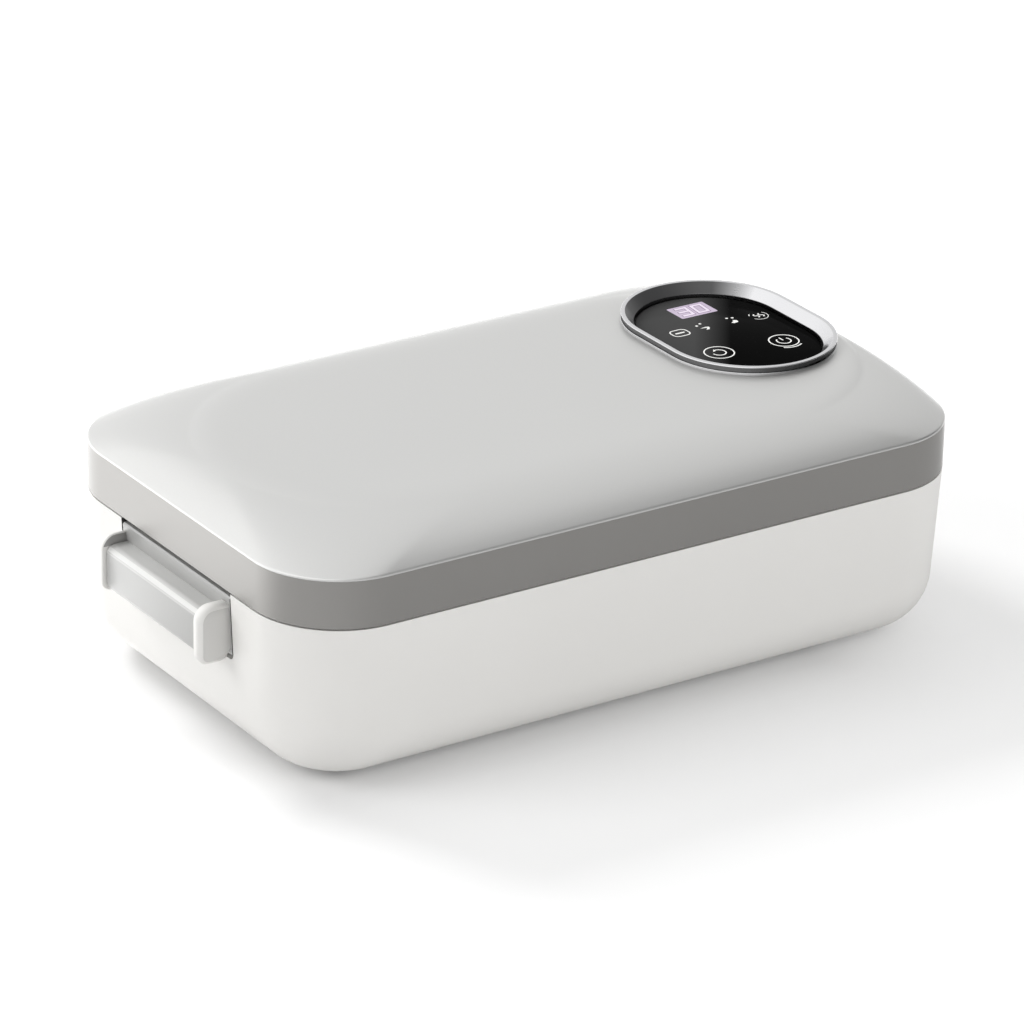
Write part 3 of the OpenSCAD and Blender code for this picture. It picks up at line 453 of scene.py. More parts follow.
def make_finishes(colours):
    """All finishes by the name that the pieces ask for"""
    return {
        "crown": silver_paint("crown_silver", colours.crown, 0.75, 0.42),
        "band": silver_paint("band_silver", colours.band, 0.90, 0.38),
        "latch": silver_paint("latch_silver", colours.latch, 0.15, 0.38),
        "body": moulded_plastic("body_white", colours.body),
        "inner": moulded_plastic("inner_white", tone(colours.body, 0.95), 0.5, 0.2),
        "trim": bright_trim("bezel_bright", colours.trim),
        "trim_painted_reflection": painted_reflection_trim("bezel_slope", colours.trim),
        "trim_dark": bright_trim("bezel_side", tone(colours.trim, 0.24), 0.28),
        # painted shade: a near-black finish on the latch's recess, the band's lower edge and the
        # plate's ends
        "gap_painted_shade": moulded_plastic("pocket_grey", (0.07, 0.07, 0.068), 0.6, 0.2),
        # painted light: the latch's top painted lighter, and the rounding above its front painted
        # as a highlight
        "latch_top": silver_paint("latch_top", tone(colours.latch, 1.26), 0.15, 0.38),
        "latch_edge": silver_paint("latch_edge", tone(colours.latch, 1.65), 0.15, 0.34),
        "cap": moulded_plastic("cap_white", tone(colours.body, 0.96)),
        # painted shade for the caps' faces that look along -Y
        "cap_side": moulded_plastic("cap_side", tone(colours.body, 0.76)),
        "cap_inner": moulded_plastic("cap_inner", tone(colours.body, 0.38)),
        "glass": dark_glass("panel_black"),
        "window": lit_window("display_lilac", colours.window),
        "display_digits": lit_window("display_digits", (0.78, 0.69, 0.82)),
        "digit_edges": lit_window("digit_edges", (0.24, 0.17, 0.27)),
        "ink": printed_ink("panel_ink", colours.ink),
        "steel": brushed_steel("tray_steel", (0.02, 1.0, 1.0)),
        "steel_across": brushed_steel("divider_steel", (1.0, 0.02, 1.0)),
        "pin": plated_metal("pin_steel", (0.62, 0.62, 0.62), 0.25),
        "zinc": plated_metal("screw_zinc", (0.55, 0.56, 0.58)),
        "aluminium": plated_metal("spreader_aluminium", (0.70, 0.70, 0.71), 0.42),
        "element": plated_metal("element_case", (0.62, 0.56, 0.42), 0.45),
        "brass": plated_metal("inlet_plating", (0.74, 0.72, 0.66), 0.22),
        "foot": soft_rubber("foot_rubber", (0.14, 0.14, 0.14)),
        "seal": soft_rubber("seal_silicone", (0.60, 0.60, 0.58), 0.55),
        "black": moulded_plastic("inlet_black", (0.022, 0.022, 0.023), 0.45, 0.3),
        "brown": moulded_plastic("thermostat_brown", (0.16, 0.07, 0.03), 0.5, 0.2),
        "ceramic": moulded_plastic("fuse_ceramic", (0.78, 0.75, 0.68), 0.25, 0.05),
        "board": circuit_board("board_green", (0.02, 0.12, 0.05)),
        "relay": moulded_plastic("relay_blue", (0.03, 0.12, 0.42), 0.28, 0.05),
        "capacitor": moulded_plastic("capacitor_yellow", (0.70, 0.50, 0.06), 0.4, 0.1),
        "pad": felted_pad("pad_fibre", (0.62, 0.58, 0.50)),
    }


# the finishes, once they are made
FINISH = {}


# ---- mesh helpers ----


def in_scene(name, data):
    """A new object in the scene that holds this data"""
    obj = bpy.data.objects.new(name, data)
    bpy.context.collection.objects.link(obj)
    return obj


def piece(name, mesh, body, slot, finish, *nodes, others=(), where=None):
    """Puts a finished mesh in the scene, ties it to its body and hides the CAD nodes that it
    stands for.
    where(centre, normal) gives a face 0 for the finish, 1 for the first of the others, 2 for
    the second. The slot is not used."""
    obj = in_scene(name, mesh)
    mesh.materials.clear()
    for key in (finish, *others):
        mesh.materials.append(FINISH[key])
    if where:
        for face in mesh.polygons:
            face.material_index = int(where(face.center, face.normal))
    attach(obj, body)
    if nodes:
        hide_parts(*nodes)


def dress(name, node, body, slot, finish, edge=0.0):
    """A copy of a CAD node with its sharp edges rounded, in its place and in one finish"""
    piece(name, merged_copy(node, edge), body, slot, finish, node)


def smooth(mesh, angle=30.0):
    """Smooth shading, broken at edges sharper than the angle in degrees"""
    mesh.shade_smooth()
    mesh.set_sharp_from_angle(angle=math.radians(angle))
    return mesh


def to_mesh(bm, name, angle=30.0):
    """Ends a bmesh as a smooth-shaded mesh"""
    mesh = bpy.data.meshes.new(name)
    bm.to_mesh(mesh)
    bm.free()
    return smooth(mesh, angle)


# points closer than this are one, faces flatter than the first angle are one, and edges
# sharper than the second are rounded
SAME_POINT = 2e-6
FLAT_ANGLE = math.radians(0.05)
SHARP_ANGLE = math.radians(38)


def merged_copy(node, edge=0.0, angle=30.0):
    """A copy of a CAD node with its triangles joined, its sharp edges rounded by edge"""
    bm = bmesh.new()
    bm.from_mesh(frame["nodes"][node].data)
    bmesh.ops.remove_doubles(bm, verts=bm.verts, dist=SAME_POINT)
    bmesh.ops.dissolve_limit(bm, angle_limit=FLAT_ANGLE, verts=bm.verts, edges=bm.edges)
    if edge:
        sharp = [e for e in bm.edges
                 if len(e.link_faces) == 2 and e.calc_face_angle(0.0) > SHARP_ANGLE]
        bmesh.ops.bevel(bm, geom=sharp, offset=edge, segments=2, profile=0.5, affect="EDGES",
                        clamp_overlap=True)
    return to_mesh(bm, node + "_dressed", angle)


def evaluated(obj):
    """A plain mesh of the object with its modifiers applied"""
    bpy.context.view_layer.update()
    graph = bpy.context.evaluated_depsgraph_get()
    return bpy.data.meshes.new_from_object(obj.evaluated_get(graph), depsgraph=graph)


def changed(mesh, kind, **settings):
    """The mesh after one modifier"""
    work = in_scene("work", mesh)
    change = work.modifiers.new("change", kind)
    for key, value in settings.items():
        setattr(change, key, value)
    result = evaluated(work)
    bpy.data.objects.remove(work)
    return result


def even_normals(mesh):
    """Keeps wide flat faces flat to the light, so that only the rounded edges turn it"""
    return changed(mesh, "WEIGHTED_NORMAL", keep_sharp=True)


def cut_away(mesh, cutter):
    """Takes the cutter's solid out of the mesh"""
    tool = in_scene("cutter", cutter)
    result = changed(mesh, "BOOLEAN", operation="DIFFERENCE", solver="EXACT", object=tool)
    bpy.data.objects.remove(tool)
    return result


def ring_points(x0, x1, half_w, radius, z, steps):
    """One turn round a rounded rectangle, anticlockwise from its +X side"""
    points = []
    for quarter in range(4):
        for k in range(steps + 1):
            a = math.radians(90) * (quarter + k / steps)
            cx = x1 - radius if quarter in (0, 3) else x0 + radius
            cy = half_w - radius if quarter < 2 else radius - half_w
            points.append((cx + radius * math.cos(a), cy + radius * math.sin(a), z))
    return points


def loft(bm, rings):
    """Joins rings of equal count with quads and closes both ends"""
    rows = [[bm.verts.new(p) for p in ring] for ring in rings]
    count = len(rows[0])
    for low, high in zip(rows, rows[1:]):
        for k in range(count):
            n = (k + 1) % count
            bm.faces.new((low[k], low[n], high[n], high[k]))
    bm.faces.new(rows[0][::-1])
    bm.faces.new(rows[-1])


def prism(bm, outline, z0, z1):
    """Upright solid over an outline"""
    loft(bm, [[(x, y, z) for x, y in outline] for z in (z0, z1)])


def stadium_outline(cx, cy, radius, straight, steps):
    """Two half turns joined by straight sides of twice the given length, along Y"""
    points = []
    for end in (0, 1):
        for k in range(steps + 1):
            a = math.pi * (end + k / steps)
            points.append((cx + radius * math.cos(a),
                           cy + radius * math.sin(a) + (straight if end == 0 else -straight)))
    return points


# ---- geometry node trees ----


TREES = {}
# radius of the circle that a foot's section is carried round
FOOT_PATH = 1.0 * MM
# an input's kind, by the type of its default
SOCKETS = {float: "Float", int: "Int", tuple: "Vector", type(None): "Object"}


class Tree(Nodes):
    """A geometry node tree under construction. Each input has a name and a default, and one
    without a default is an object. The material comes last."""

    def __init__(self, name, **inputs):
        super().__init__(bpy.data.node_groups.new(name, "GeometryNodeTree"))
        self.ids = {}
        for key, default in inputs.items():
            socket = self.socket(key.replace("_", " "), SOCKETS[type(default)])
            if default is not None:
                socket.default_value = default
        self.socket("Material", "Material")
        self.socket("Geometry", "Geometry", "OUTPUT")
        self.inputs = self.add("NodeGroupInput", output=None).outputs

    def socket(self, label, kind, way="INPUT"):
        """A named input or output of the whole tree"""
        socket = self.tree.interface.new_socket(label, in_out=way,
                                                socket_type="NodeSocket" + kind)
        self.ids[label] = socket.identifier
        return socket

    def given(self, label):
        """The input of this name, which arithmetic can be written on"""
        return Wire(self.tree, self.inputs[label])

    def raised(self, geometry, height):
        """The geometry moved up by height, or down where it is below 0"""
        lift = self.add("CombineXYZ", Z=height)
        return self.add("GeometryNodeTransform", Geometry=geometry, Translation=lift)

    def at_corners(self, geometry, height):
        """A copy at each corner of the rectangle that the two spacings give"""
        grid = self.add("GeometryNodeMeshGrid", Size_X=self.given("Spacing X"),
                        Size_Y=self.given("Spacing Y"), Vertices_X=2, Vertices_Y=2)
        return self.add("GeometryNodeInstanceOnPoints", Points=self.raised(grid, height),
                        Instance=geometry)

    def swept(self, path):
        """The tree's section carried along a path, standing upright"""
        upright = self.add("GeometryNodeSetCurveNormal", {"mode": "Z_UP"}, Curve=path)
        section = self.add("GeometryNodeObjectInfo", output="Geometry",
                           Object=self.given("Section"))
        return self.add("GeometryNodeCurveToMesh", Curve=upright, Profile_Curve=section)

    def finish(self, geometry):
        """Ends the tree with real geometry in the material that is given"""
        real = self.add("GeometryNodeRealizeInstances", Geometry=geometry)
        painted = self.add("GeometryNodeSetMaterial", Geometry=real,
                           Material=self.given("Material"))
        self.add("NodeGroupOutput", output=None, Geometry=painted)
        return self

    def mesh(self, name, angle=30.0, **values):
        """Runs the tree with these inputs and returns a plain mesh"""
        holder = in_scene(name, bpy.data.meshes.new(name))
        change = holder.modifiers.new(name, "NODES")
        change.node_group = self.tree
        for label, value in values.items():
            change[self.ids[label.replace("_", " ")]] = value
        mesh = evaluated(holder)
        bpy.data.objects.remove(holder)
        bm = bmesh.new()
        bm.from_mesh(mesh)
        bmesh.ops.remove_doubles(bm, verts=bm.verts, dist=SAME_POINT / 2)
        bmesh.ops.recalc_face_normals(bm, faces=bm.faces)
        bm.to_mesh(mesh)
        bm.free()
        return smooth(mesh, angle)


def sweep_tree():
    """Carries a closed section round a rounded rectangle"""
    tree = Tree("Rounded Sweep", Section=None, Length=0.2, Width=0.1, Corner_Radius=0.02,
                Corner_Steps=24, Place=(0.0, 0.0, 0.0))
    path = tree.add("GeometryNodeCurvePrimitiveQuadrilateral", {"mode": "RECTANGLE"},
                    Width=tree.given("Length"), Height=tree.given("Width"))
    rounded = tree.add("GeometryNodeFilletCurve", {"mode": "POLY"}, Curve=path,
                       Count=tree.given("Corner Steps"), Radius=tree.given("Corner Radius"))
    return tree.finish(tree.add("GeometryNodeTransform", Geometry=tree.swept(rounded),
                                Translation=tree.given("Place")))


def screw_tree():
    """Pan-head screws with a cross recess at the corners of a rectangle, heads down"""
    tree = Tree("Corner Screws", Spacing_X=0.1, Spacing_Y=0.1, Seat_Height=0.0,
                Head_Radius=2.6 * MM, Head_Height=1.4 * MM, Shank_Radius=1.25 * MM,
                Shank_Length=6 * MM)
    rim, deep = tree.given("Head Radius"), tree.given("Head Height")
    reach = tree.given("Shank Length")
    head = tree.add("GeometryNodeMeshCylinder", Vertices=28, Radius=rim, Depth=deep)
    bar_long, bar_thin = rim * 1.25, rim * 0.26
    bars = [(1, tree.add("GeometryNodeMeshCube",
                         Size=tree.add("CombineXYZ", X=along, Y=across, Z=deep)))
            for along, across in ((bar_long, bar_thin), (bar_thin, bar_long))]
    cross = tree.add("GeometryNodeMeshBoolean", {"operation": "UNION", "solver": "EXACT"},
                     numbered=bars)
    cut = tree.add("GeometryNodeMeshBoolean", {"operation": "DIFFERENCE", "solver": "EXACT"},
                   numbered=((0, head), (1, tree.raised(cross, deep * -0.45))))
    shank = tree.add("GeometryNodeMeshCylinder", Vertices=20,
                     Radius=tree.given("Shank Radius"), Depth=reach)
    screw = tree.add("GeometryNodeJoinGeometry", numbered=(
        (0, tree.raised(cut, deep * -0.5)), (0, tree.raised(shank, reach * 0.5))))
    return tree.finish(tree.at_corners(screw, tree.given("Seat Height")))


def foot_tree():
    """Round feet with a dished underside at the corners of a rectangle"""
    tree = Tree("Corner Feet", Section=None, Spacing_X=0.1, Spacing_Y=0.1)
    turn = tree.add("GeometryNodeCurvePrimitiveCircle", {"mode": "RADIUS"}, Resolution=48,
                    Radius=FOOT_PATH)
    return tree.finish(tree.at_corners(tree.swept(turn), 0.0))


def section_curve(name, points):
    """A flat section drawn as distance out and height; the sweep turns it over"""
    data = bpy.data.curves.new(name, "CURVE")
    data.dimensions = "2D"
    line = data.splines.new("POLY")
    line.points.add(len(points) - 1)
    for point, (out, up) in zip(line.points, points):
        point.co = (out, -up, 0.0, 1.0)
    line.use_cyclic_u = True
    return in_scene(name, data)


def sweep(name, section, length, width, radius, place, finish, steps=24, angle=30.0):
    """A section carried round a rounded rectangle whose section origin is the path"""
    guide = section_curve(name + "_section", section)
    mesh = TREES["sweep"].mesh(
        name, angle, Section=guide, Length=length, Width=width, Corner_Radius=radius,
        Corner_Steps=steps, Place=place, Material=FINISH[finish])
    bpy.data.objects.remove(guide)
    return mesh


def arc(cx, cy, radius, start, end, steps):
    """Points of an arc from start to end in degrees"""
    turns = [math.radians(start + (end - start) * k / steps) for k in range(steps + 1)]
    return [(cx + radius * math.cos(a), cy + radius * math.sin(a)) for a in turns]


# ---- operators ----


# how squarely a face has to look along an axis to be counted as facing it
FACING = 0.9


class LUNCHBOX_OT_stage(bpy.types.Operator):
    """Make the floor, the lamps, the world and the camera"""

    bl_idname = "lunchbox.stage"
    bl_label = "Stage"

    # the camera's axes, fitted to the box's edges in the photograph
    RIGHT = Vector((0.83553, -0.54906, 0.02042))
    FORWARD = Vector((0.50888, 0.75929, -0.40562))
    PHOTO_WIDTH = 1024
    SENSOR_WIDTH = 36.0
    # name, place, height of the point it shines at, size in metres, power in watts
    LAMPS = (
        ("key_left", (-1.5, 0.5, 1.0), 0.03, 1.1, 11.0),
        ("back_left", (-0.45, 1.75, 1.45), 0.05, 0.8, 27.0),
        ("front_fill", (0.7, -2.0, 1.0), 0.03, 1.6, 15.0),
    )
    SKY_LIGHT = 0.44
    # the middle, half length and half width of the floor that gets a painted contact shadow
    SHADOW_X, SHADOW_HALF_L, SHADOW_HALF_W = -0.02, 0.09, 0.065
    SHADOW_REACH = 0.07

    def execute(self, context):
        sizes = context.scene.lunchbox_stage
        self.camera(context, sizes)
        self.world(context)
        self.floor(sizes)
        for lamp in self.LAMPS:
            self.lamp(*lamp)
        context.scene.view_settings.view_transform = "Standard"
        return {"FINISHED"}

    def camera(self, context, sizes):
        data = bpy.data.cameras.new("camera")
        data.sensor_width = self.SENSOR_WIDTH
        data.lens = sizes.focal_pixels * self.SENSOR_WIDTH / self.PHOTO_WIDTH
        data.clip_start, data.clip_end = 0.05, 20.0
        camera = in_scene("camera", data)
        right, back = self.RIGHT.normalized(), -self.FORWARD.normalized()
        turn = Matrix((right, back.cross(right), back)).transposed()
        camera.matrix_world = Matrix.Translation(sizes.eye) @ turn.to_4x4()
        context.scene.camera = camera

    def world(self, context):
        """White to the camera, even light for the surfaces and a soft gradient in mirrors"""
        world = bpy.data.worlds.new("studio")
        context.scene.world = world
        world.use_nodes = True
        sky = Nodes(world.node_tree)
        seen, mirrored = sky.rays()
        x, y, z = sky.split(sky.add("TexCoord", output="Generated"))
        # mirrors see most light from the latch's side and little from the right front
        front = ((x * 0.8 - y - 0.45) * 3.0).clamped()
        soft_box = 1.30 - x * 0.50 - z * 0.16 - front * 0.85
        lit = self.SKY_LIGHT + seen * (1.0 - self.SKY_LIGHT)
        strength = lit + mirrored * (soft_box - self.SKY_LIGHT)
        sky.add("OutputWorld", output=None,
                Surface=sky.add("Background", Color=grey(1.0), Strength=strength))

    def floor(self, sizes):
        """White to the camera, with a painted contact shadow close to the box, and bright in
        mirrors behind it
        """
        bm = bmesh.new()
        bmesh.ops.create_circle(bm, cap_ends=True, segments=96, radius=sizes.floor)
        floor = in_scene("floor", to_mesh(bm, "floor"))
        f = Finish("floor_white")
        seen, mirrored = f.rays()
        x, y, _ = f.split(f.place())
        # 0 in front of the box and 1 behind it
        back = ((y + 0.02) * 10.0).clamped()
        out_x = (x - self.SHADOW_X).beyond(self.SHADOW_HALF_L)
        out_y = y.beyond(self.SHADOW_HALF_W)
        reach = (out_x * out_x + out_y * out_y) ** 0.5
        # painted shadow: the camera's glow on the floor is lowered close to the box, on top of the
        # real shadow
        near = (1.0 - reach / self.SHADOW_REACH).clamped() ** 2.0
        lit = f.add("BsdfDiffuse", Color=grey(0.84))
        glow = f.add("Emission", Color=grey(1.0),
                     Strength=seen * (0.29 - near * 0.20) + mirrored * back * 1.2)
        both = f.add("AddShader", numbered=((0, lit), (1, glow)))
        floor.data.materials.append(f.out(both))

    @staticmethod
    def lamp(name, place, aim_height, size, power):
        data = bpy.data.lights.new(name, "AREA")
        data.size = size
        data.energy = power
        lamp = in_scene(name, data)
        lamp.location = place
        lamp.visible_glossy = False
        to_box = Vector((0, 0, aim_height)) - Vector(place)
        lamp.rotation_euler = to_box.to_track_quat("-Z", "Y").to_euler()


class LUNCHBOX_OT_finishes(bpy.types.Operator):
    """Make every finish and give each CAD node its own"""

    bl_idname = "lunchbox.finishes"
    bl_label = "Finishes"

    # the CAD nodes that each finish goes on
    NODES = {
        "aluminium": "heat_spreader", "band": "lid_band", "black": "power_inlet buzzer",
        "board": "power_board control_board", "body": "outer_shell latch_caps",
        "brass": "inlet_pins key_springs", "brown": "thermostat",
        "capacitor": "power_capacitor display_module", "ceramic": "thermal_fuse",
        "crown": "lid_top", "element": "heating_element", "foot": "rubber_feet",
        "glass": "panel_glass", "inner": "bottom_cover deck_frame lid_liner",
        "latch": "latch_plate latch_grip", "pad": "insulation_pad",
        "pin": "fuse_clip hinge_pin latch_pin latch_keeper", "relay": "power_relay",
        "seal": "lid_gasket", "steel": "heating_well food_tray",
        "steel_across": "tray_divider element_clamps", "trim": "panel_bezel",
        "zinc": "cover_screws case_screws clamp_screws power_board_screws lid_screws "
                "keeper_screws control_board_screws grip_screws",
    }

    def execute(self, context):
        FINISH.update(make_finishes(context.scene.lunchbox_colours))
        chosen = {name: key for key, names in self.NODES.items() for name in names.split()}
        for name, obj in frame["nodes"].items():
            material = FINISH[chosen[name]]
            if not obj.material_slots:
                obj.data.materials.append(material)
            for slot in obj.material_slots:
                slot.material = material
        TREES["sweep"] = sweep_tree()
        TREES["screws"] = screw_tree()
        TREES["feet"] = foot_tree()
        return {"FINISHED"}


class LUNCHBOX_OT_crown(bpy.types.Operator):
    """Make the lid's domed crown, open under the touch panel"""

    bl_idname = "lunchbox.crown"
    bl_label = "Crown"

    # degrees round the small round at the lower edge, and where the shoulder takes over
    LIP_TURNS = (0, 12, 24, 36)
    LIP_END = math.radians(44)
    UNDER_BEZEL = 0.4 * MM
    # edges sharper than this many degrees stay sharp
    BREAK = 25.0

    def execute(self, context):
        sizes = context.scene.lunchbox_lid
        base = BAND[1].z + sizes.seam
        rise = CROWN[1].z - base
        edge = [self.lip(sizes, base, 0.0, 0.0)]
        edge += [self.lip(sizes, base + sizes.edge_wall, sizes.edge_round, turn)
                 for turn in self.LIP_TURNS]
        reach = sizes.edge_round * (1 - math.cos(self.LIP_END))
        lift = sizes.edge_wall + sizes.edge_round * math.sin(self.LIP_END)
        outer = self.skin(sizes, reach, base + lift, rise - lift)
        inner = self.skin(sizes, sizes.skirt_inset + sizes.skirt_wall, base, rise - sizes.wall)
        bm = bmesh.new()
        loft(bm, inner[::-1] + edge + outer)
        cutter = bmesh.new()
        opening = stadium_outline(BEZEL_CENTRE.x, BEZEL_CENTRE.y,
                                  BEZEL_RADIUS - self.UNDER_BEZEL, BEZEL_STRAIGHT, 48)
        prism(cutter, opening, CROWN[0].z - 10 * MM, CROWN[1].z + 10 * MM)
        mesh = cut_away(to_mesh(bm, "crown", self.BREAK), to_mesh(cutter, "opening"))
        piece("lid_crown", smooth(mesh, self.BREAK), "lid", "lid_silver", "crown", "lid_top")
        self.skirt(sizes, LINER[1].z + 2 * MM, base + 0.3 * MM)
        return {"FINISHED"}

    @staticmethod
    def skirt(sizes, low, high):
        """The upright wall inside the band that the crown stands on"""
        half = sizes.skirt_wall / 2
        section = [(-half, low), (half, low), (half, high), (-half, high)]
        inset = sizes.skirt_inset + half
        skirt = sweep("crown_skirt", section, 2 * (HALF_L - inset), 2 * (HALF_W - inset),
                      sizes.corner - inset, (0, 0, 0), "crown")
        piece("crown_skirt", skirt, "lid", "lid_silver", "crown")

    @staticmethod
    def skin(sizes, inset, base, rise):
        """Rings over the shoulder, from the lower edge inwards and up to the top"""
        rings = []
        for i in range(sizes.rings + 1):
            # the rings lie closer together towards the edge, where the curve is tight
            t = (i / sizes.rings) ** 1.25
            half_w = HALF_W - inset - t * sizes.shoulder_side
            radius = min(sizes.corner - inset + t * sizes.corner_growth, half_w - 2 * MM)
            z = base + rise * (1 - (1 - t) ** sizes.fullness)
            rings.append(ring_points(
                -HALF_L + inset + t * sizes.shoulder_latch,
                HALF_L - inset - t * sizes.shoulder_hinge, half_w, radius, z,
                sizes.corner_steps))
        return rings

    @staticmethod
    def lip(sizes, z, radius, degrees):
        """A ring of the small round at the lower edge, from its upright foot at 0 degrees"""
        turn = math.radians(degrees)
        inset = radius * (1 - math.cos(turn))
        return ring_points(-HALF_L + inset, HALF_L - inset, HALF_W - inset,
                           sizes.corner - inset, z + radius * math.sin(turn),
                           sizes.corner_steps)


class LUNCHBOX_OT_band(bpy.types.Operator):
    """Dress the lid's band and its liner"""

    bl_idname = "lunchbox.band"
    bl_label = "Band and Liner"

    EDGE = 0.3 * MM

    def execute(self, context):
        low, high = BAND[0].z, BAND[1].z

        # the band's lower rounding gets the painted shade of the seam above the body
        def under_edge(centre, normal):
            return centre.z < low + self.EDGE - 0.01 * MM

        band = merged_copy("lid_band", self.EDGE)
        for v in band.vertices:
            # the rounding at the top lies flat, so that the crown's edge meets the band
            if high - self.EDGE - 0.01 * MM < v.co.z < high - 0.01 * MM:
                v.co.z = high - 0.02 * MM
        piece("lid_band_silver", smooth(band, 25.0), "lid", "band_silver", "band", "lid_band",
              others=("gap_painted_shade",), where=under_edge)
        dress("lid_liner_white", "lid_liner", "lid", "white_plastic", "inner", 0.25 * MM)
        return {"FINISHED"}


def spot(offset):
    """The place on the glass that lies this far from the panel's centre"""
    return (GLASS_CENTRE.x + offset[0], GLASS_CENTRE.y + offset[1])


class Print:
    """Marks of one height over the glass, in the given layer"""

    STROKE = 0.42 * MM

    def __init__(self, height, layer=0):
        self.bm = bmesh.new()
        self.heights = (GLASS_TOP + layer * height, GLASS_TOP + (layer + 1) * height)

    def patch(self, outline):
        prism(self.bm, outline, *self.heights)

    def strip(self, inner, outer):
        """A line between two rows of points"""
        for k in range(len(inner) - 1):
            self.patch([inner[k], outer[k], outer[k + 1], inner[k + 1]])

    def curve(self, x, y, radius, start, end, line=STROKE, steps=40):
        """A line along an arc from start to end in degrees"""
        self.strip(*(arc(x, y, radius + side * line / 2, start, end, steps)
                     for side in (-1, 1)))

    def figure(self, x, y, width, height, line, lit):
        """The lit ones of seven slanted bars, which are named clockwise from the top"""
        w, h = width / 2, height / 2
        bars = {"a": ((-w, h), (w, h)), "b": ((w, h), (w, 0)), "c": ((w, 0), (w, -h)),
                "d": ((-w, -h), (w, -h)), "e": ((-w, 0), (-w, -h)), "f": ((-w, h), (-w, 0)),
                "g": ((-w, 0), (w, 0))}
        slant = 0.10
        for name in lit:
            start, end = (Vector(point) for point in bars[name])
            along = (end - start).normalized() * line / 2
            side = Vector((-along.y, along.x))
            corners = (start - along - side, end + along - side, end + along + side,
                       start - along + side)
            self.patch([(x + c.x + slant * c.y, y + c.y) for c in corners])

    def done(self, name, finish):
        piece(name, to_mesh(self.bm, name), "lid", "display", finish)


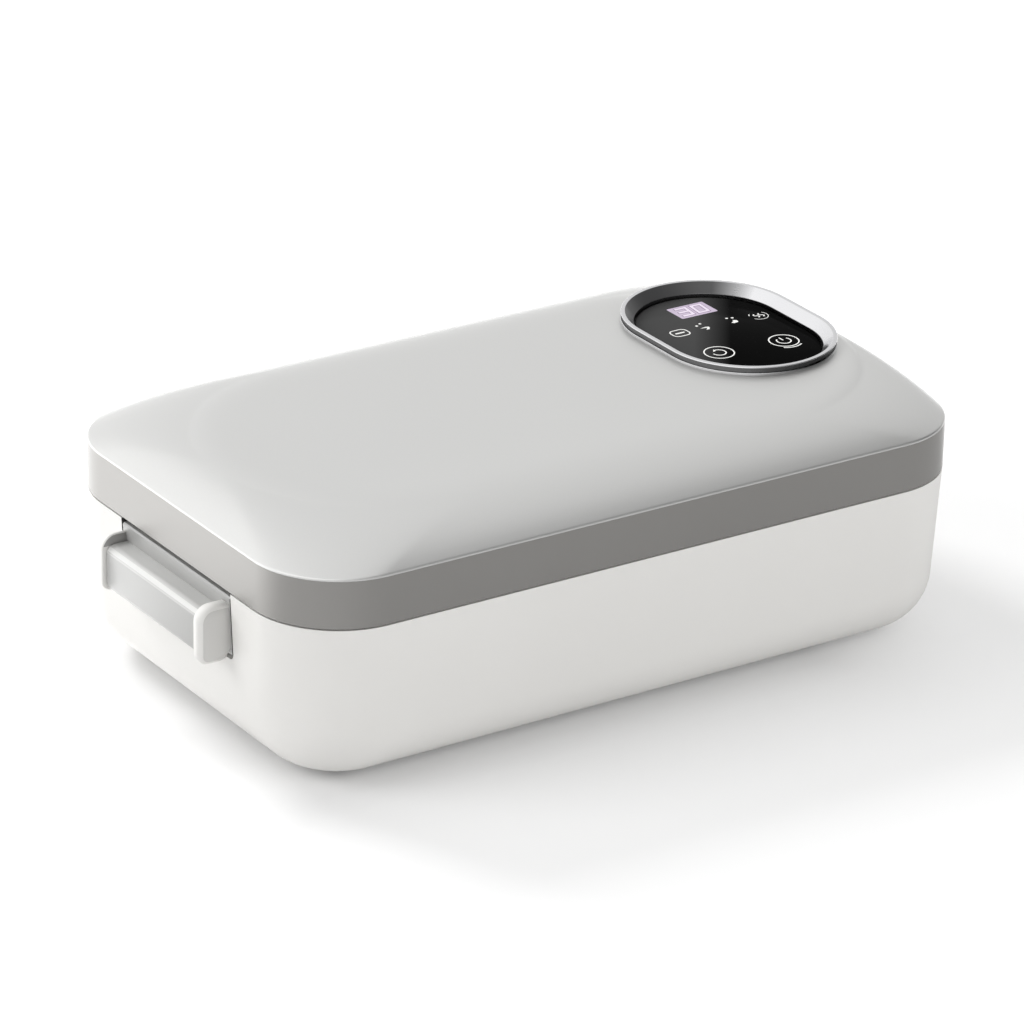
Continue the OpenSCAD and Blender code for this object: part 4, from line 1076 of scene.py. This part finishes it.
class LUNCHBOX_OT_panel(bpy.types.Operator):
    """Make the bezel, the glass, the display and the printed keys"""

    bl_idname = "lunchbox.panel"
    bl_label = "Touch Panel"

    def execute(self, context):
        sizes = context.scene.lunchbox_panel
        self.bezel(sizes)
        self.glass()
        self.display(sizes)
        self.keys(sizes)
        self.marks(sizes)
        return {"FINISHED"}

    def bezel(self, sizes):
        """A foot on the crown, a dark side, a rounded rim, the slope and a ledge for the glass"""
        outer, straight = BEZEL_RADIUS, BEZEL_STRAIGHT
        glass = (GLASS[1].x - GLASS[0].x) / 2
        gap, ledge = glass + sizes.glass_gap, glass - 2 * MM
        top, seat = BEZEL[1].z, GLASS[0].z
        low = seat - 1.6 * MM
        base = CROWN[1].z + sizes.foot
        step = GLASS_TOP + sizes.shadow_step
        wall = outer - sizes.side_inset
        r = 0.25 * MM
        soft = 0.1 * MM
        rim_in = outer - sizes.rim - r
        section = [(outer, low), (outer, base - soft), (outer - soft, base)]
        section += [(wall, base), (wall, top - 1.7 * r), (outer, top - 1.2 * r)]
        section += arc(outer - r, top - r, r, 0, 90, 5)
        section += arc(rim_in, top - r, r, 90, 140, 4)
        section += [(rim_in - sizes.slope, step), (gap, step - soft), (gap, seat),
                    (ledge, seat), (ledge, low)]
        path = outer - 1.5 * MM
        section = [(x - path, z) for x, z in section]
        mesh = sweep("bezel", section, 2 * path, 2 * (path + straight), path - 0.01 * MM,
                     (GLASS_CENTRE.x, GLASS_CENTRE.y, 0), "trim", 40, 26.0)

        # 1 gives the dark finish to the step down to the glass and to the outer side, 2 gives the
        # slope its painted reflection
        def in_shade(centre, normal):
            if self.inside(centre, rim_in - soft, straight):
                return 1 if centre.z < step + 0.05 * MM else 2
            return base - 0.05 * MM < centre.z < top - 1.5 * r

        piece("bezel_ring", mesh, "lid", "bright_trim", "trim", "panel_bezel",
              others=("trim_dark", "trim_painted_reflection"), where=in_shade)

    @staticmethod
    def inside(point, radius, straight):
        """Whether a point lies within the stadium of this radius round the panel's centre"""
        along = max(abs(point.y - GLASS_CENTRE.y) - straight, 0.0)
        return math.hypot(point.x - GLASS_CENTRE.x, along) < radius

    @staticmethod
    def glass():
        """The black glass with a rounded upper edge"""
        half = (GLASS[1] - GLASS[0]) / 2
        straight = half.y - half.x
        r = 0.35 * MM
        rings = []
        for inset, z in ((0, GLASS[0].z), (0, GLASS_TOP - r), (0.1 * MM, GLASS_TOP - 0.17 * MM),
                         (r * 0.6, GLASS_TOP - 0.05 * MM), (r, GLASS_TOP)):
            outline = stadium_outline(GLASS_CENTRE.x, GLASS_CENTRE.y, half.x - inset, straight,
                                      48)
            rings.append([(x, y, z) for x, y in outline])
        bm = bmesh.new()
        loft(bm, rings)
        piece("glass_window", to_mesh(bm, "glass", 50.0), "lid", "black_glass", "glass",
              "panel_glass")

    @staticmethod
    def display(sizes):
        """The lit window, with a three and a nought in pale strokes on darker ones"""
        x, y = spot(sizes.window_at)
        half_l, half_w = sizes.window[0] / 2, sizes.window[1] / 2
        light = Print(sizes.ink)
        light.patch([(px, py + y) for px, py, _ in ring_points(
            x - half_l, x + half_l, half_w, 0.5 * MM, 0, 4)])
        light.done("display_light", "window")
        for name, layer, line in (("digit_edges", 1, 1.45 * MM), ("display_digits", 2, 0.95 * MM)):
            digits = Print(sizes.ink, layer)
            for offset, lit in ((-0.42, "abgcd"), (0.42, "abcdef")):
                digits.figure(x + offset * half_l, y, half_l * 0.50, half_w * 1.25, line, lit)
            digits.done(name, name)

    @staticmethod
    def keys(sizes):
        """A ringed arrow for the mode key, a ringed stroke and broken circle for the power key"""
        ink = Print(sizes.ink)
        r = sizes.key_radius
        x, y = spot(sizes.mode_at)
        ink.curve(x, y, r, 0, 360)
        ink.curve(x, y, r * 0.46, -178, 96)
        tip_x, tip_y = x - r * 0.30, y + r * 0.40
        ink.patch([(tip_x + dx * r, tip_y + dy * r)
                   for dx, dy in ((0.02, -0.12), (0.26, -0.06), (0.26, 0.22))])
        x, y = spot(sizes.power_at)
        ink.curve(x, y, r, 0, 360)
        ink.curve(x, y, r * 0.48, 130, 398)
        ink.curve(x, y, r * 1.23, -126, -55, steps=16)
        left, right = x - ink.STROKE / 2, x + ink.STROKE / 2
        low, high = y + r * 0.08, y + r * 0.56
        ink.patch([(left, low), (right, low), (right, high), (left, high)])
        ink.done("key_marks", "ink")

    @staticmethod
    def marks(sizes):
        """Small marks that show what is running: a tray, two of food and a steaming bowl"""
        ink = Print(sizes.ink)

        def at(dx, dy):
            """The point dx, dy millimetres from the panel's centre"""
            return spot((dx * MM, dy * MM))

        x, y = at(-11.9, 9.0)
        outer, inner = ([(x + px, y + py) for px, py, _ in ring_points(
            -half_l * MM, half_l * MM, half_w * MM, r * MM, 0, 6)]
            for half_l, half_w, r in ((3.15, 2.6, 1.9), (2.75, 2.2, 1.5)))
        ink.strip(inner + inner[:1], outer + outer[:1])
        bar = stadium_outline(0, 0, 0.36 * MM, 1.4 * MM, 8)
        ink.patch([(x + py, y + px) for px, py in reversed(bar)])
        for place in ((-4.1, 11.1), (-2.2, 12.1), (7.7, 11.6), (9.5, 11.1)):
            ink.patch(arc(*at(*place), 0.46 * MM, 0, 360 * 11 / 12, 11))
        for corners in (((-4.3, 8.8), (-1.3, 8.2), (-1.1, 8.8), (-2.2, 9.1)),
                        ((-3.1, 7.1), (-2.1, 7.0), (-1.1, 8.1), (-2.1, 8.2)),
                        ((7.0, 7.9), (7.6, 7.2), (9.2, 7.4), (9.6, 8.7), (8.5, 9.5), (8.2, 8.6))):
            ink.patch([at(*corner) for corner in corners])
        x, y = at(17.8, 8.5)
        ink.curve(x, y, 3.05 * MM, -150, 38, 0.22 * MM, 24)
        ink.curve(x, y, 3.05 * MM, 135, 158, 0.3 * MM, 6)
        for side in (-0.78, 1.02):
            for lift, start in ((0.75, 90), (-0.5, -90)):
                ink.curve(x + side * MM, y + lift * MM, 0.62 * MM, start, start + 180, steps=8)
        ink.done("status_marks", "ink")


class LUNCHBOX_OT_body(bpy.types.Operator):
    """Dress the outer shell, the deck and the bottom cover"""

    bl_idname = "lunchbox.body"
    bl_label = "Body"

    POCKET_BACK, POCKET_FACE = 7.7 * MM, 5 * MM
    SIDE_ROOM = 1 * MM

    def execute(self, context):
        low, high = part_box("latch_plate")
        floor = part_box("latch_pin")[0].z

        def in_pocket(centre, normal):
            """Faces of the latch's recess above the pin, but not the shell's outside: they get the
            painted shade
            """
            inwards = centre.x + HALF_L
            return (floor < centre.z < BAND[0].z
                    and low.y - self.SIDE_ROOM < centre.y < high.y + self.SIDE_ROOM
                    and inwards < self.POCKET_BACK
                    and (abs(normal.x) < FACING or inwards > self.POCKET_FACE))

        shell = even_normals(merged_copy("outer_shell", 0.3 * MM))
        piece("shell_white", shell, "base", "white_plastic", "body", "outer_shell",
              others=("gap_painted_shade",), where=in_pocket)
        dress("deck_white", "deck_frame", "base", "white_plastic", "inner", 0.2 * MM)
        dress("cover_white", "bottom_cover", "base", "white_plastic", "inner", 0.2 * MM)
        return {"FINISHED"}


class LUNCHBOX_OT_latch(bpy.types.Operator):
    """Dress the latch's plate, grip and end caps"""

    bl_idname = "lunchbox.latch"
    bl_label = "Latch"

    END_GAP = 0.45 * MM
    PLATE_DROP = 0.65 * MM
    CAP_BREAK = 50.0
    # degrees round the barrel from its outer side: where the lower face touches it, and how
    # far the corner between both faces may reach
    LOWER_FACE, CORNER = 60, 28

    def execute(self, context):
        # the plate's end faces get the painted shade of the gaps beside it
        def plate_end(centre, normal):
            return abs(normal.y) > FACING

        def upper_faces(centre, normal):
            """2 for the rounding between the grip's top and front, which gets a painted highlight,
            1 for the top, which is painted lighter
            """
            if normal.z > 0.5 and normal.x < -0.6:
                return 2
            return normal.z > 0.2

        piece("latch_plate_silver", self.plate(), "latch", "latch_silver", "latch",
              "latch_plate", others=("gap_painted_shade",), where=plate_end)
        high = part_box("latch_grip")[1]
        grip = merged_copy("latch_grip", 0.25 * MM)
        for v in grip.vertices:
            if v.co.y > high.y - 0.3 * MM:
                v.co.y -= self.END_GAP
        piece("latch_grip_silver", grip, "latch", "latch_silver", "latch", "latch_grip",
              others=("latch_top", "latch_edge"), where=upper_faces)
        self.caps(high.z - 0.6 * MM)
        return {"FINISHED"}

    def caps(self, level):
        """Both end caps, cut at a level so that the far one takes its painted shade above the grip
        alone
        """

        # painted shade: faces that look along -Y are painted darker, the near cap's flat end a
        # little and the far cap's inner face above the level much more
        def flat_side(centre, normal):
            if normal.y > -FACING:
                return 0
            return 1 if centre.y < 0 else 2 * (centre.z > level)

        caps = bmesh.new()
        caps.from_mesh(merged_copy("latch_caps", 0.0, self.CAP_BREAK))
        bmesh.ops.bisect_plane(caps, geom=caps.verts[:] + caps.edges[:] + caps.faces[:],
                               plane_co=(0, 0, level), plane_no=(0, 0, 1))
        piece("latch_caps_white", to_mesh(caps, "caps", self.CAP_BREAK), "latch",
              "white_plastic", "cap", "latch_caps", others=("cap_side", "cap_inner"),
              where=flat_side)

    def plate(self):
        """The plate, a little lower under the band, its barrel filled out at both ends and
        turned from round into an upright face and a lower one"""
        plate = merged_copy("latch_plate")
        low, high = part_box("latch_plate")
        pin = (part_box("latch_pin")[0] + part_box("latch_pin")[1]) / 2
        barrel = pin.z - low.z
        ends = sorted({round(abs(v.co.y), 6) for v in plate.vertices})[-2:]
        for v in plate.vertices:
            if abs(abs(v.co.y) - ends[0]) < SAME_POINT:
                v.co.y = math.copysign(ends[1], v.co.y)
            if v.co.z > high.z - 1 * MM:
                v.co.z -= self.PLATE_DROP
            out, down = pin.x - v.co.x, pin.z - v.co.z
            if out > 0 and down > 0 and abs(math.hypot(out, down) - barrel) < 0.1 * MM:
                turn = math.degrees(math.atan2(down, out))
                turn = min(turn, self.LOWER_FACE - turn, self.CORNER)
                swell = 1 / math.cos(math.radians(turn))
                v.co.x, v.co.z = pin.x - out * swell, pin.z - down * swell
        return smooth(plate)


class LUNCHBOX_OT_fasteners(bpy.types.Operator):
    """Make the screws and the feet under the box"""

    bl_idname = "lunchbox.fasteners"
    bl_label = "Screws and Feet"

    # piece, node, radius and height of the head, radius of the shank
    SCREWS = (("cover_screw_set", "cover_screws", 2.6 * MM, 1.4 * MM, 1.25 * MM),
              ("case_screw_set", "case_screws", 3.0 * MM, 1.8 * MM, 1.5 * MM))
    FOOT_RADIUS = 7.0 * MM
    # a foot's underside in millimetres, from its outer edge over the dished ring inwards
    FOOT_UNDERSIDE = ((6.3, 0.5), (5.8, 0.0), (5.0, 0.0), (4.7, 0.25), (4.0, 0.25), (3.7, 0.0),
                      (0.4, 0.0), (0.0, 0.0))

    def execute(self, context):
        for name, node, rim, deep, shank in self.SCREWS:
            low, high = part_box(node)
            mesh = TREES["screws"].mesh(
                name, Spacing_X=high.x - low.x - 2 * rim,
                Spacing_Y=high.y - low.y - 2 * rim, Seat_Height=low.z + deep,
                Head_Radius=rim, Head_Height=deep, Shank_Radius=shank,
                Shank_Length=high.z - low.z - deep, Material=FINISH["zinc"])
            piece(name, mesh, "base", "zinc", "zinc", node)
        self.feet()
        return {"FINISHED"}

    def feet(self):
        low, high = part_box("rubber_feet")
        radius = self.FOOT_RADIUS
        section = [(0.0, high.z), (radius, high.z)]
        section += [(x * MM, z * MM) for x, z in self.FOOT_UNDERSIDE]
        guide = section_curve("foot_section", [(x - FOOT_PATH, z) for x, z in section])
        mesh = TREES["feet"].mesh("foot_set", Section=guide,
                                  Spacing_X=high.x - low.x - 2 * radius,
                                  Spacing_Y=high.y - low.y - 2 * radius,
                                  Material=FINISH["foot"])
        bpy.data.objects.remove(guide)
        piece("foot_set", mesh, "base", "grey_rubber", "foot", "rubber_feet")


class LUNCHBOX_OT_tray(bpy.types.Operator):
    """Dress the tray, its divider and the heating well"""

    bl_idname = "lunchbox.tray"
    bl_label = "Tray and Well"

    def execute(self, context):
        dress("tray_bright", "food_tray", "base", "stainless", "steel")
        dress("well_bright", "heating_well", "base", "stainless", "steel")
        dress("divider_bright", "tray_divider", "base", "stainless", "steel_across")
        return {"FINISHED"}


class LUNCHBOX_PT_pieces(bpy.types.Panel):
    """Lists the pieces and their sizes"""

    bl_label = "Lunch Box"
    bl_idname = "LUNCHBOX_PT_pieces"
    bl_space_type = "VIEW_3D"
    bl_region_type = "UI"
    bl_category = "Lunch Box"

    def draw(self, context):
        layout = self.layout
        for operator in OPERATORS:
            layout.operator(operator.bl_idname)
        for group in (context.scene.lunchbox_lid, context.scene.lunchbox_panel,
                      context.scene.lunchbox_colours, context.scene.lunchbox_stage):
            for name in group.bl_rna.properties.keys():
                if name not in ("rna_type", "name"):
                    layout.prop(group, name)


GROUPS = {"lunchbox_lid": LidSizes, "lunchbox_panel": PanelSizes, "lunchbox_colours": Colours,
          "lunchbox_stage": StageSizes}
OPERATORS = (LUNCHBOX_OT_stage, LUNCHBOX_OT_finishes, LUNCHBOX_OT_crown, LUNCHBOX_OT_band,
             LUNCHBOX_OT_panel, LUNCHBOX_OT_body, LUNCHBOX_OT_latch, LUNCHBOX_OT_fasteners,
             LUNCHBOX_OT_tray)


def register():
    for cls in (*GROUPS.values(), *OPERATORS, LUNCHBOX_PT_pieces):
        bpy.utils.register_class(cls)
    for name, group in GROUPS.items():
        setattr(bpy.types.Scene, name, PointerProperty(type=group))


def unregister():
    for name in GROUPS:
        delattr(bpy.types.Scene, name)
    for cls in reversed((*GROUPS.values(), *OPERATORS, LUNCHBOX_PT_pieces)):
        bpy.utils.unregister_class(cls)


def main():
    register()
    bpy.ops.lunchbox.stage()
    bpy.ops.lunchbox.finishes()
    bpy.ops.lunchbox.crown()
    bpy.ops.lunchbox.band()
    bpy.ops.lunchbox.panel()
    bpy.ops.lunchbox.body()
    bpy.ops.lunchbox.latch()
    bpy.ops.lunchbox.fasteners()
    bpy.ops.lunchbox.tray()


if __name__ == "__main__":
    main()
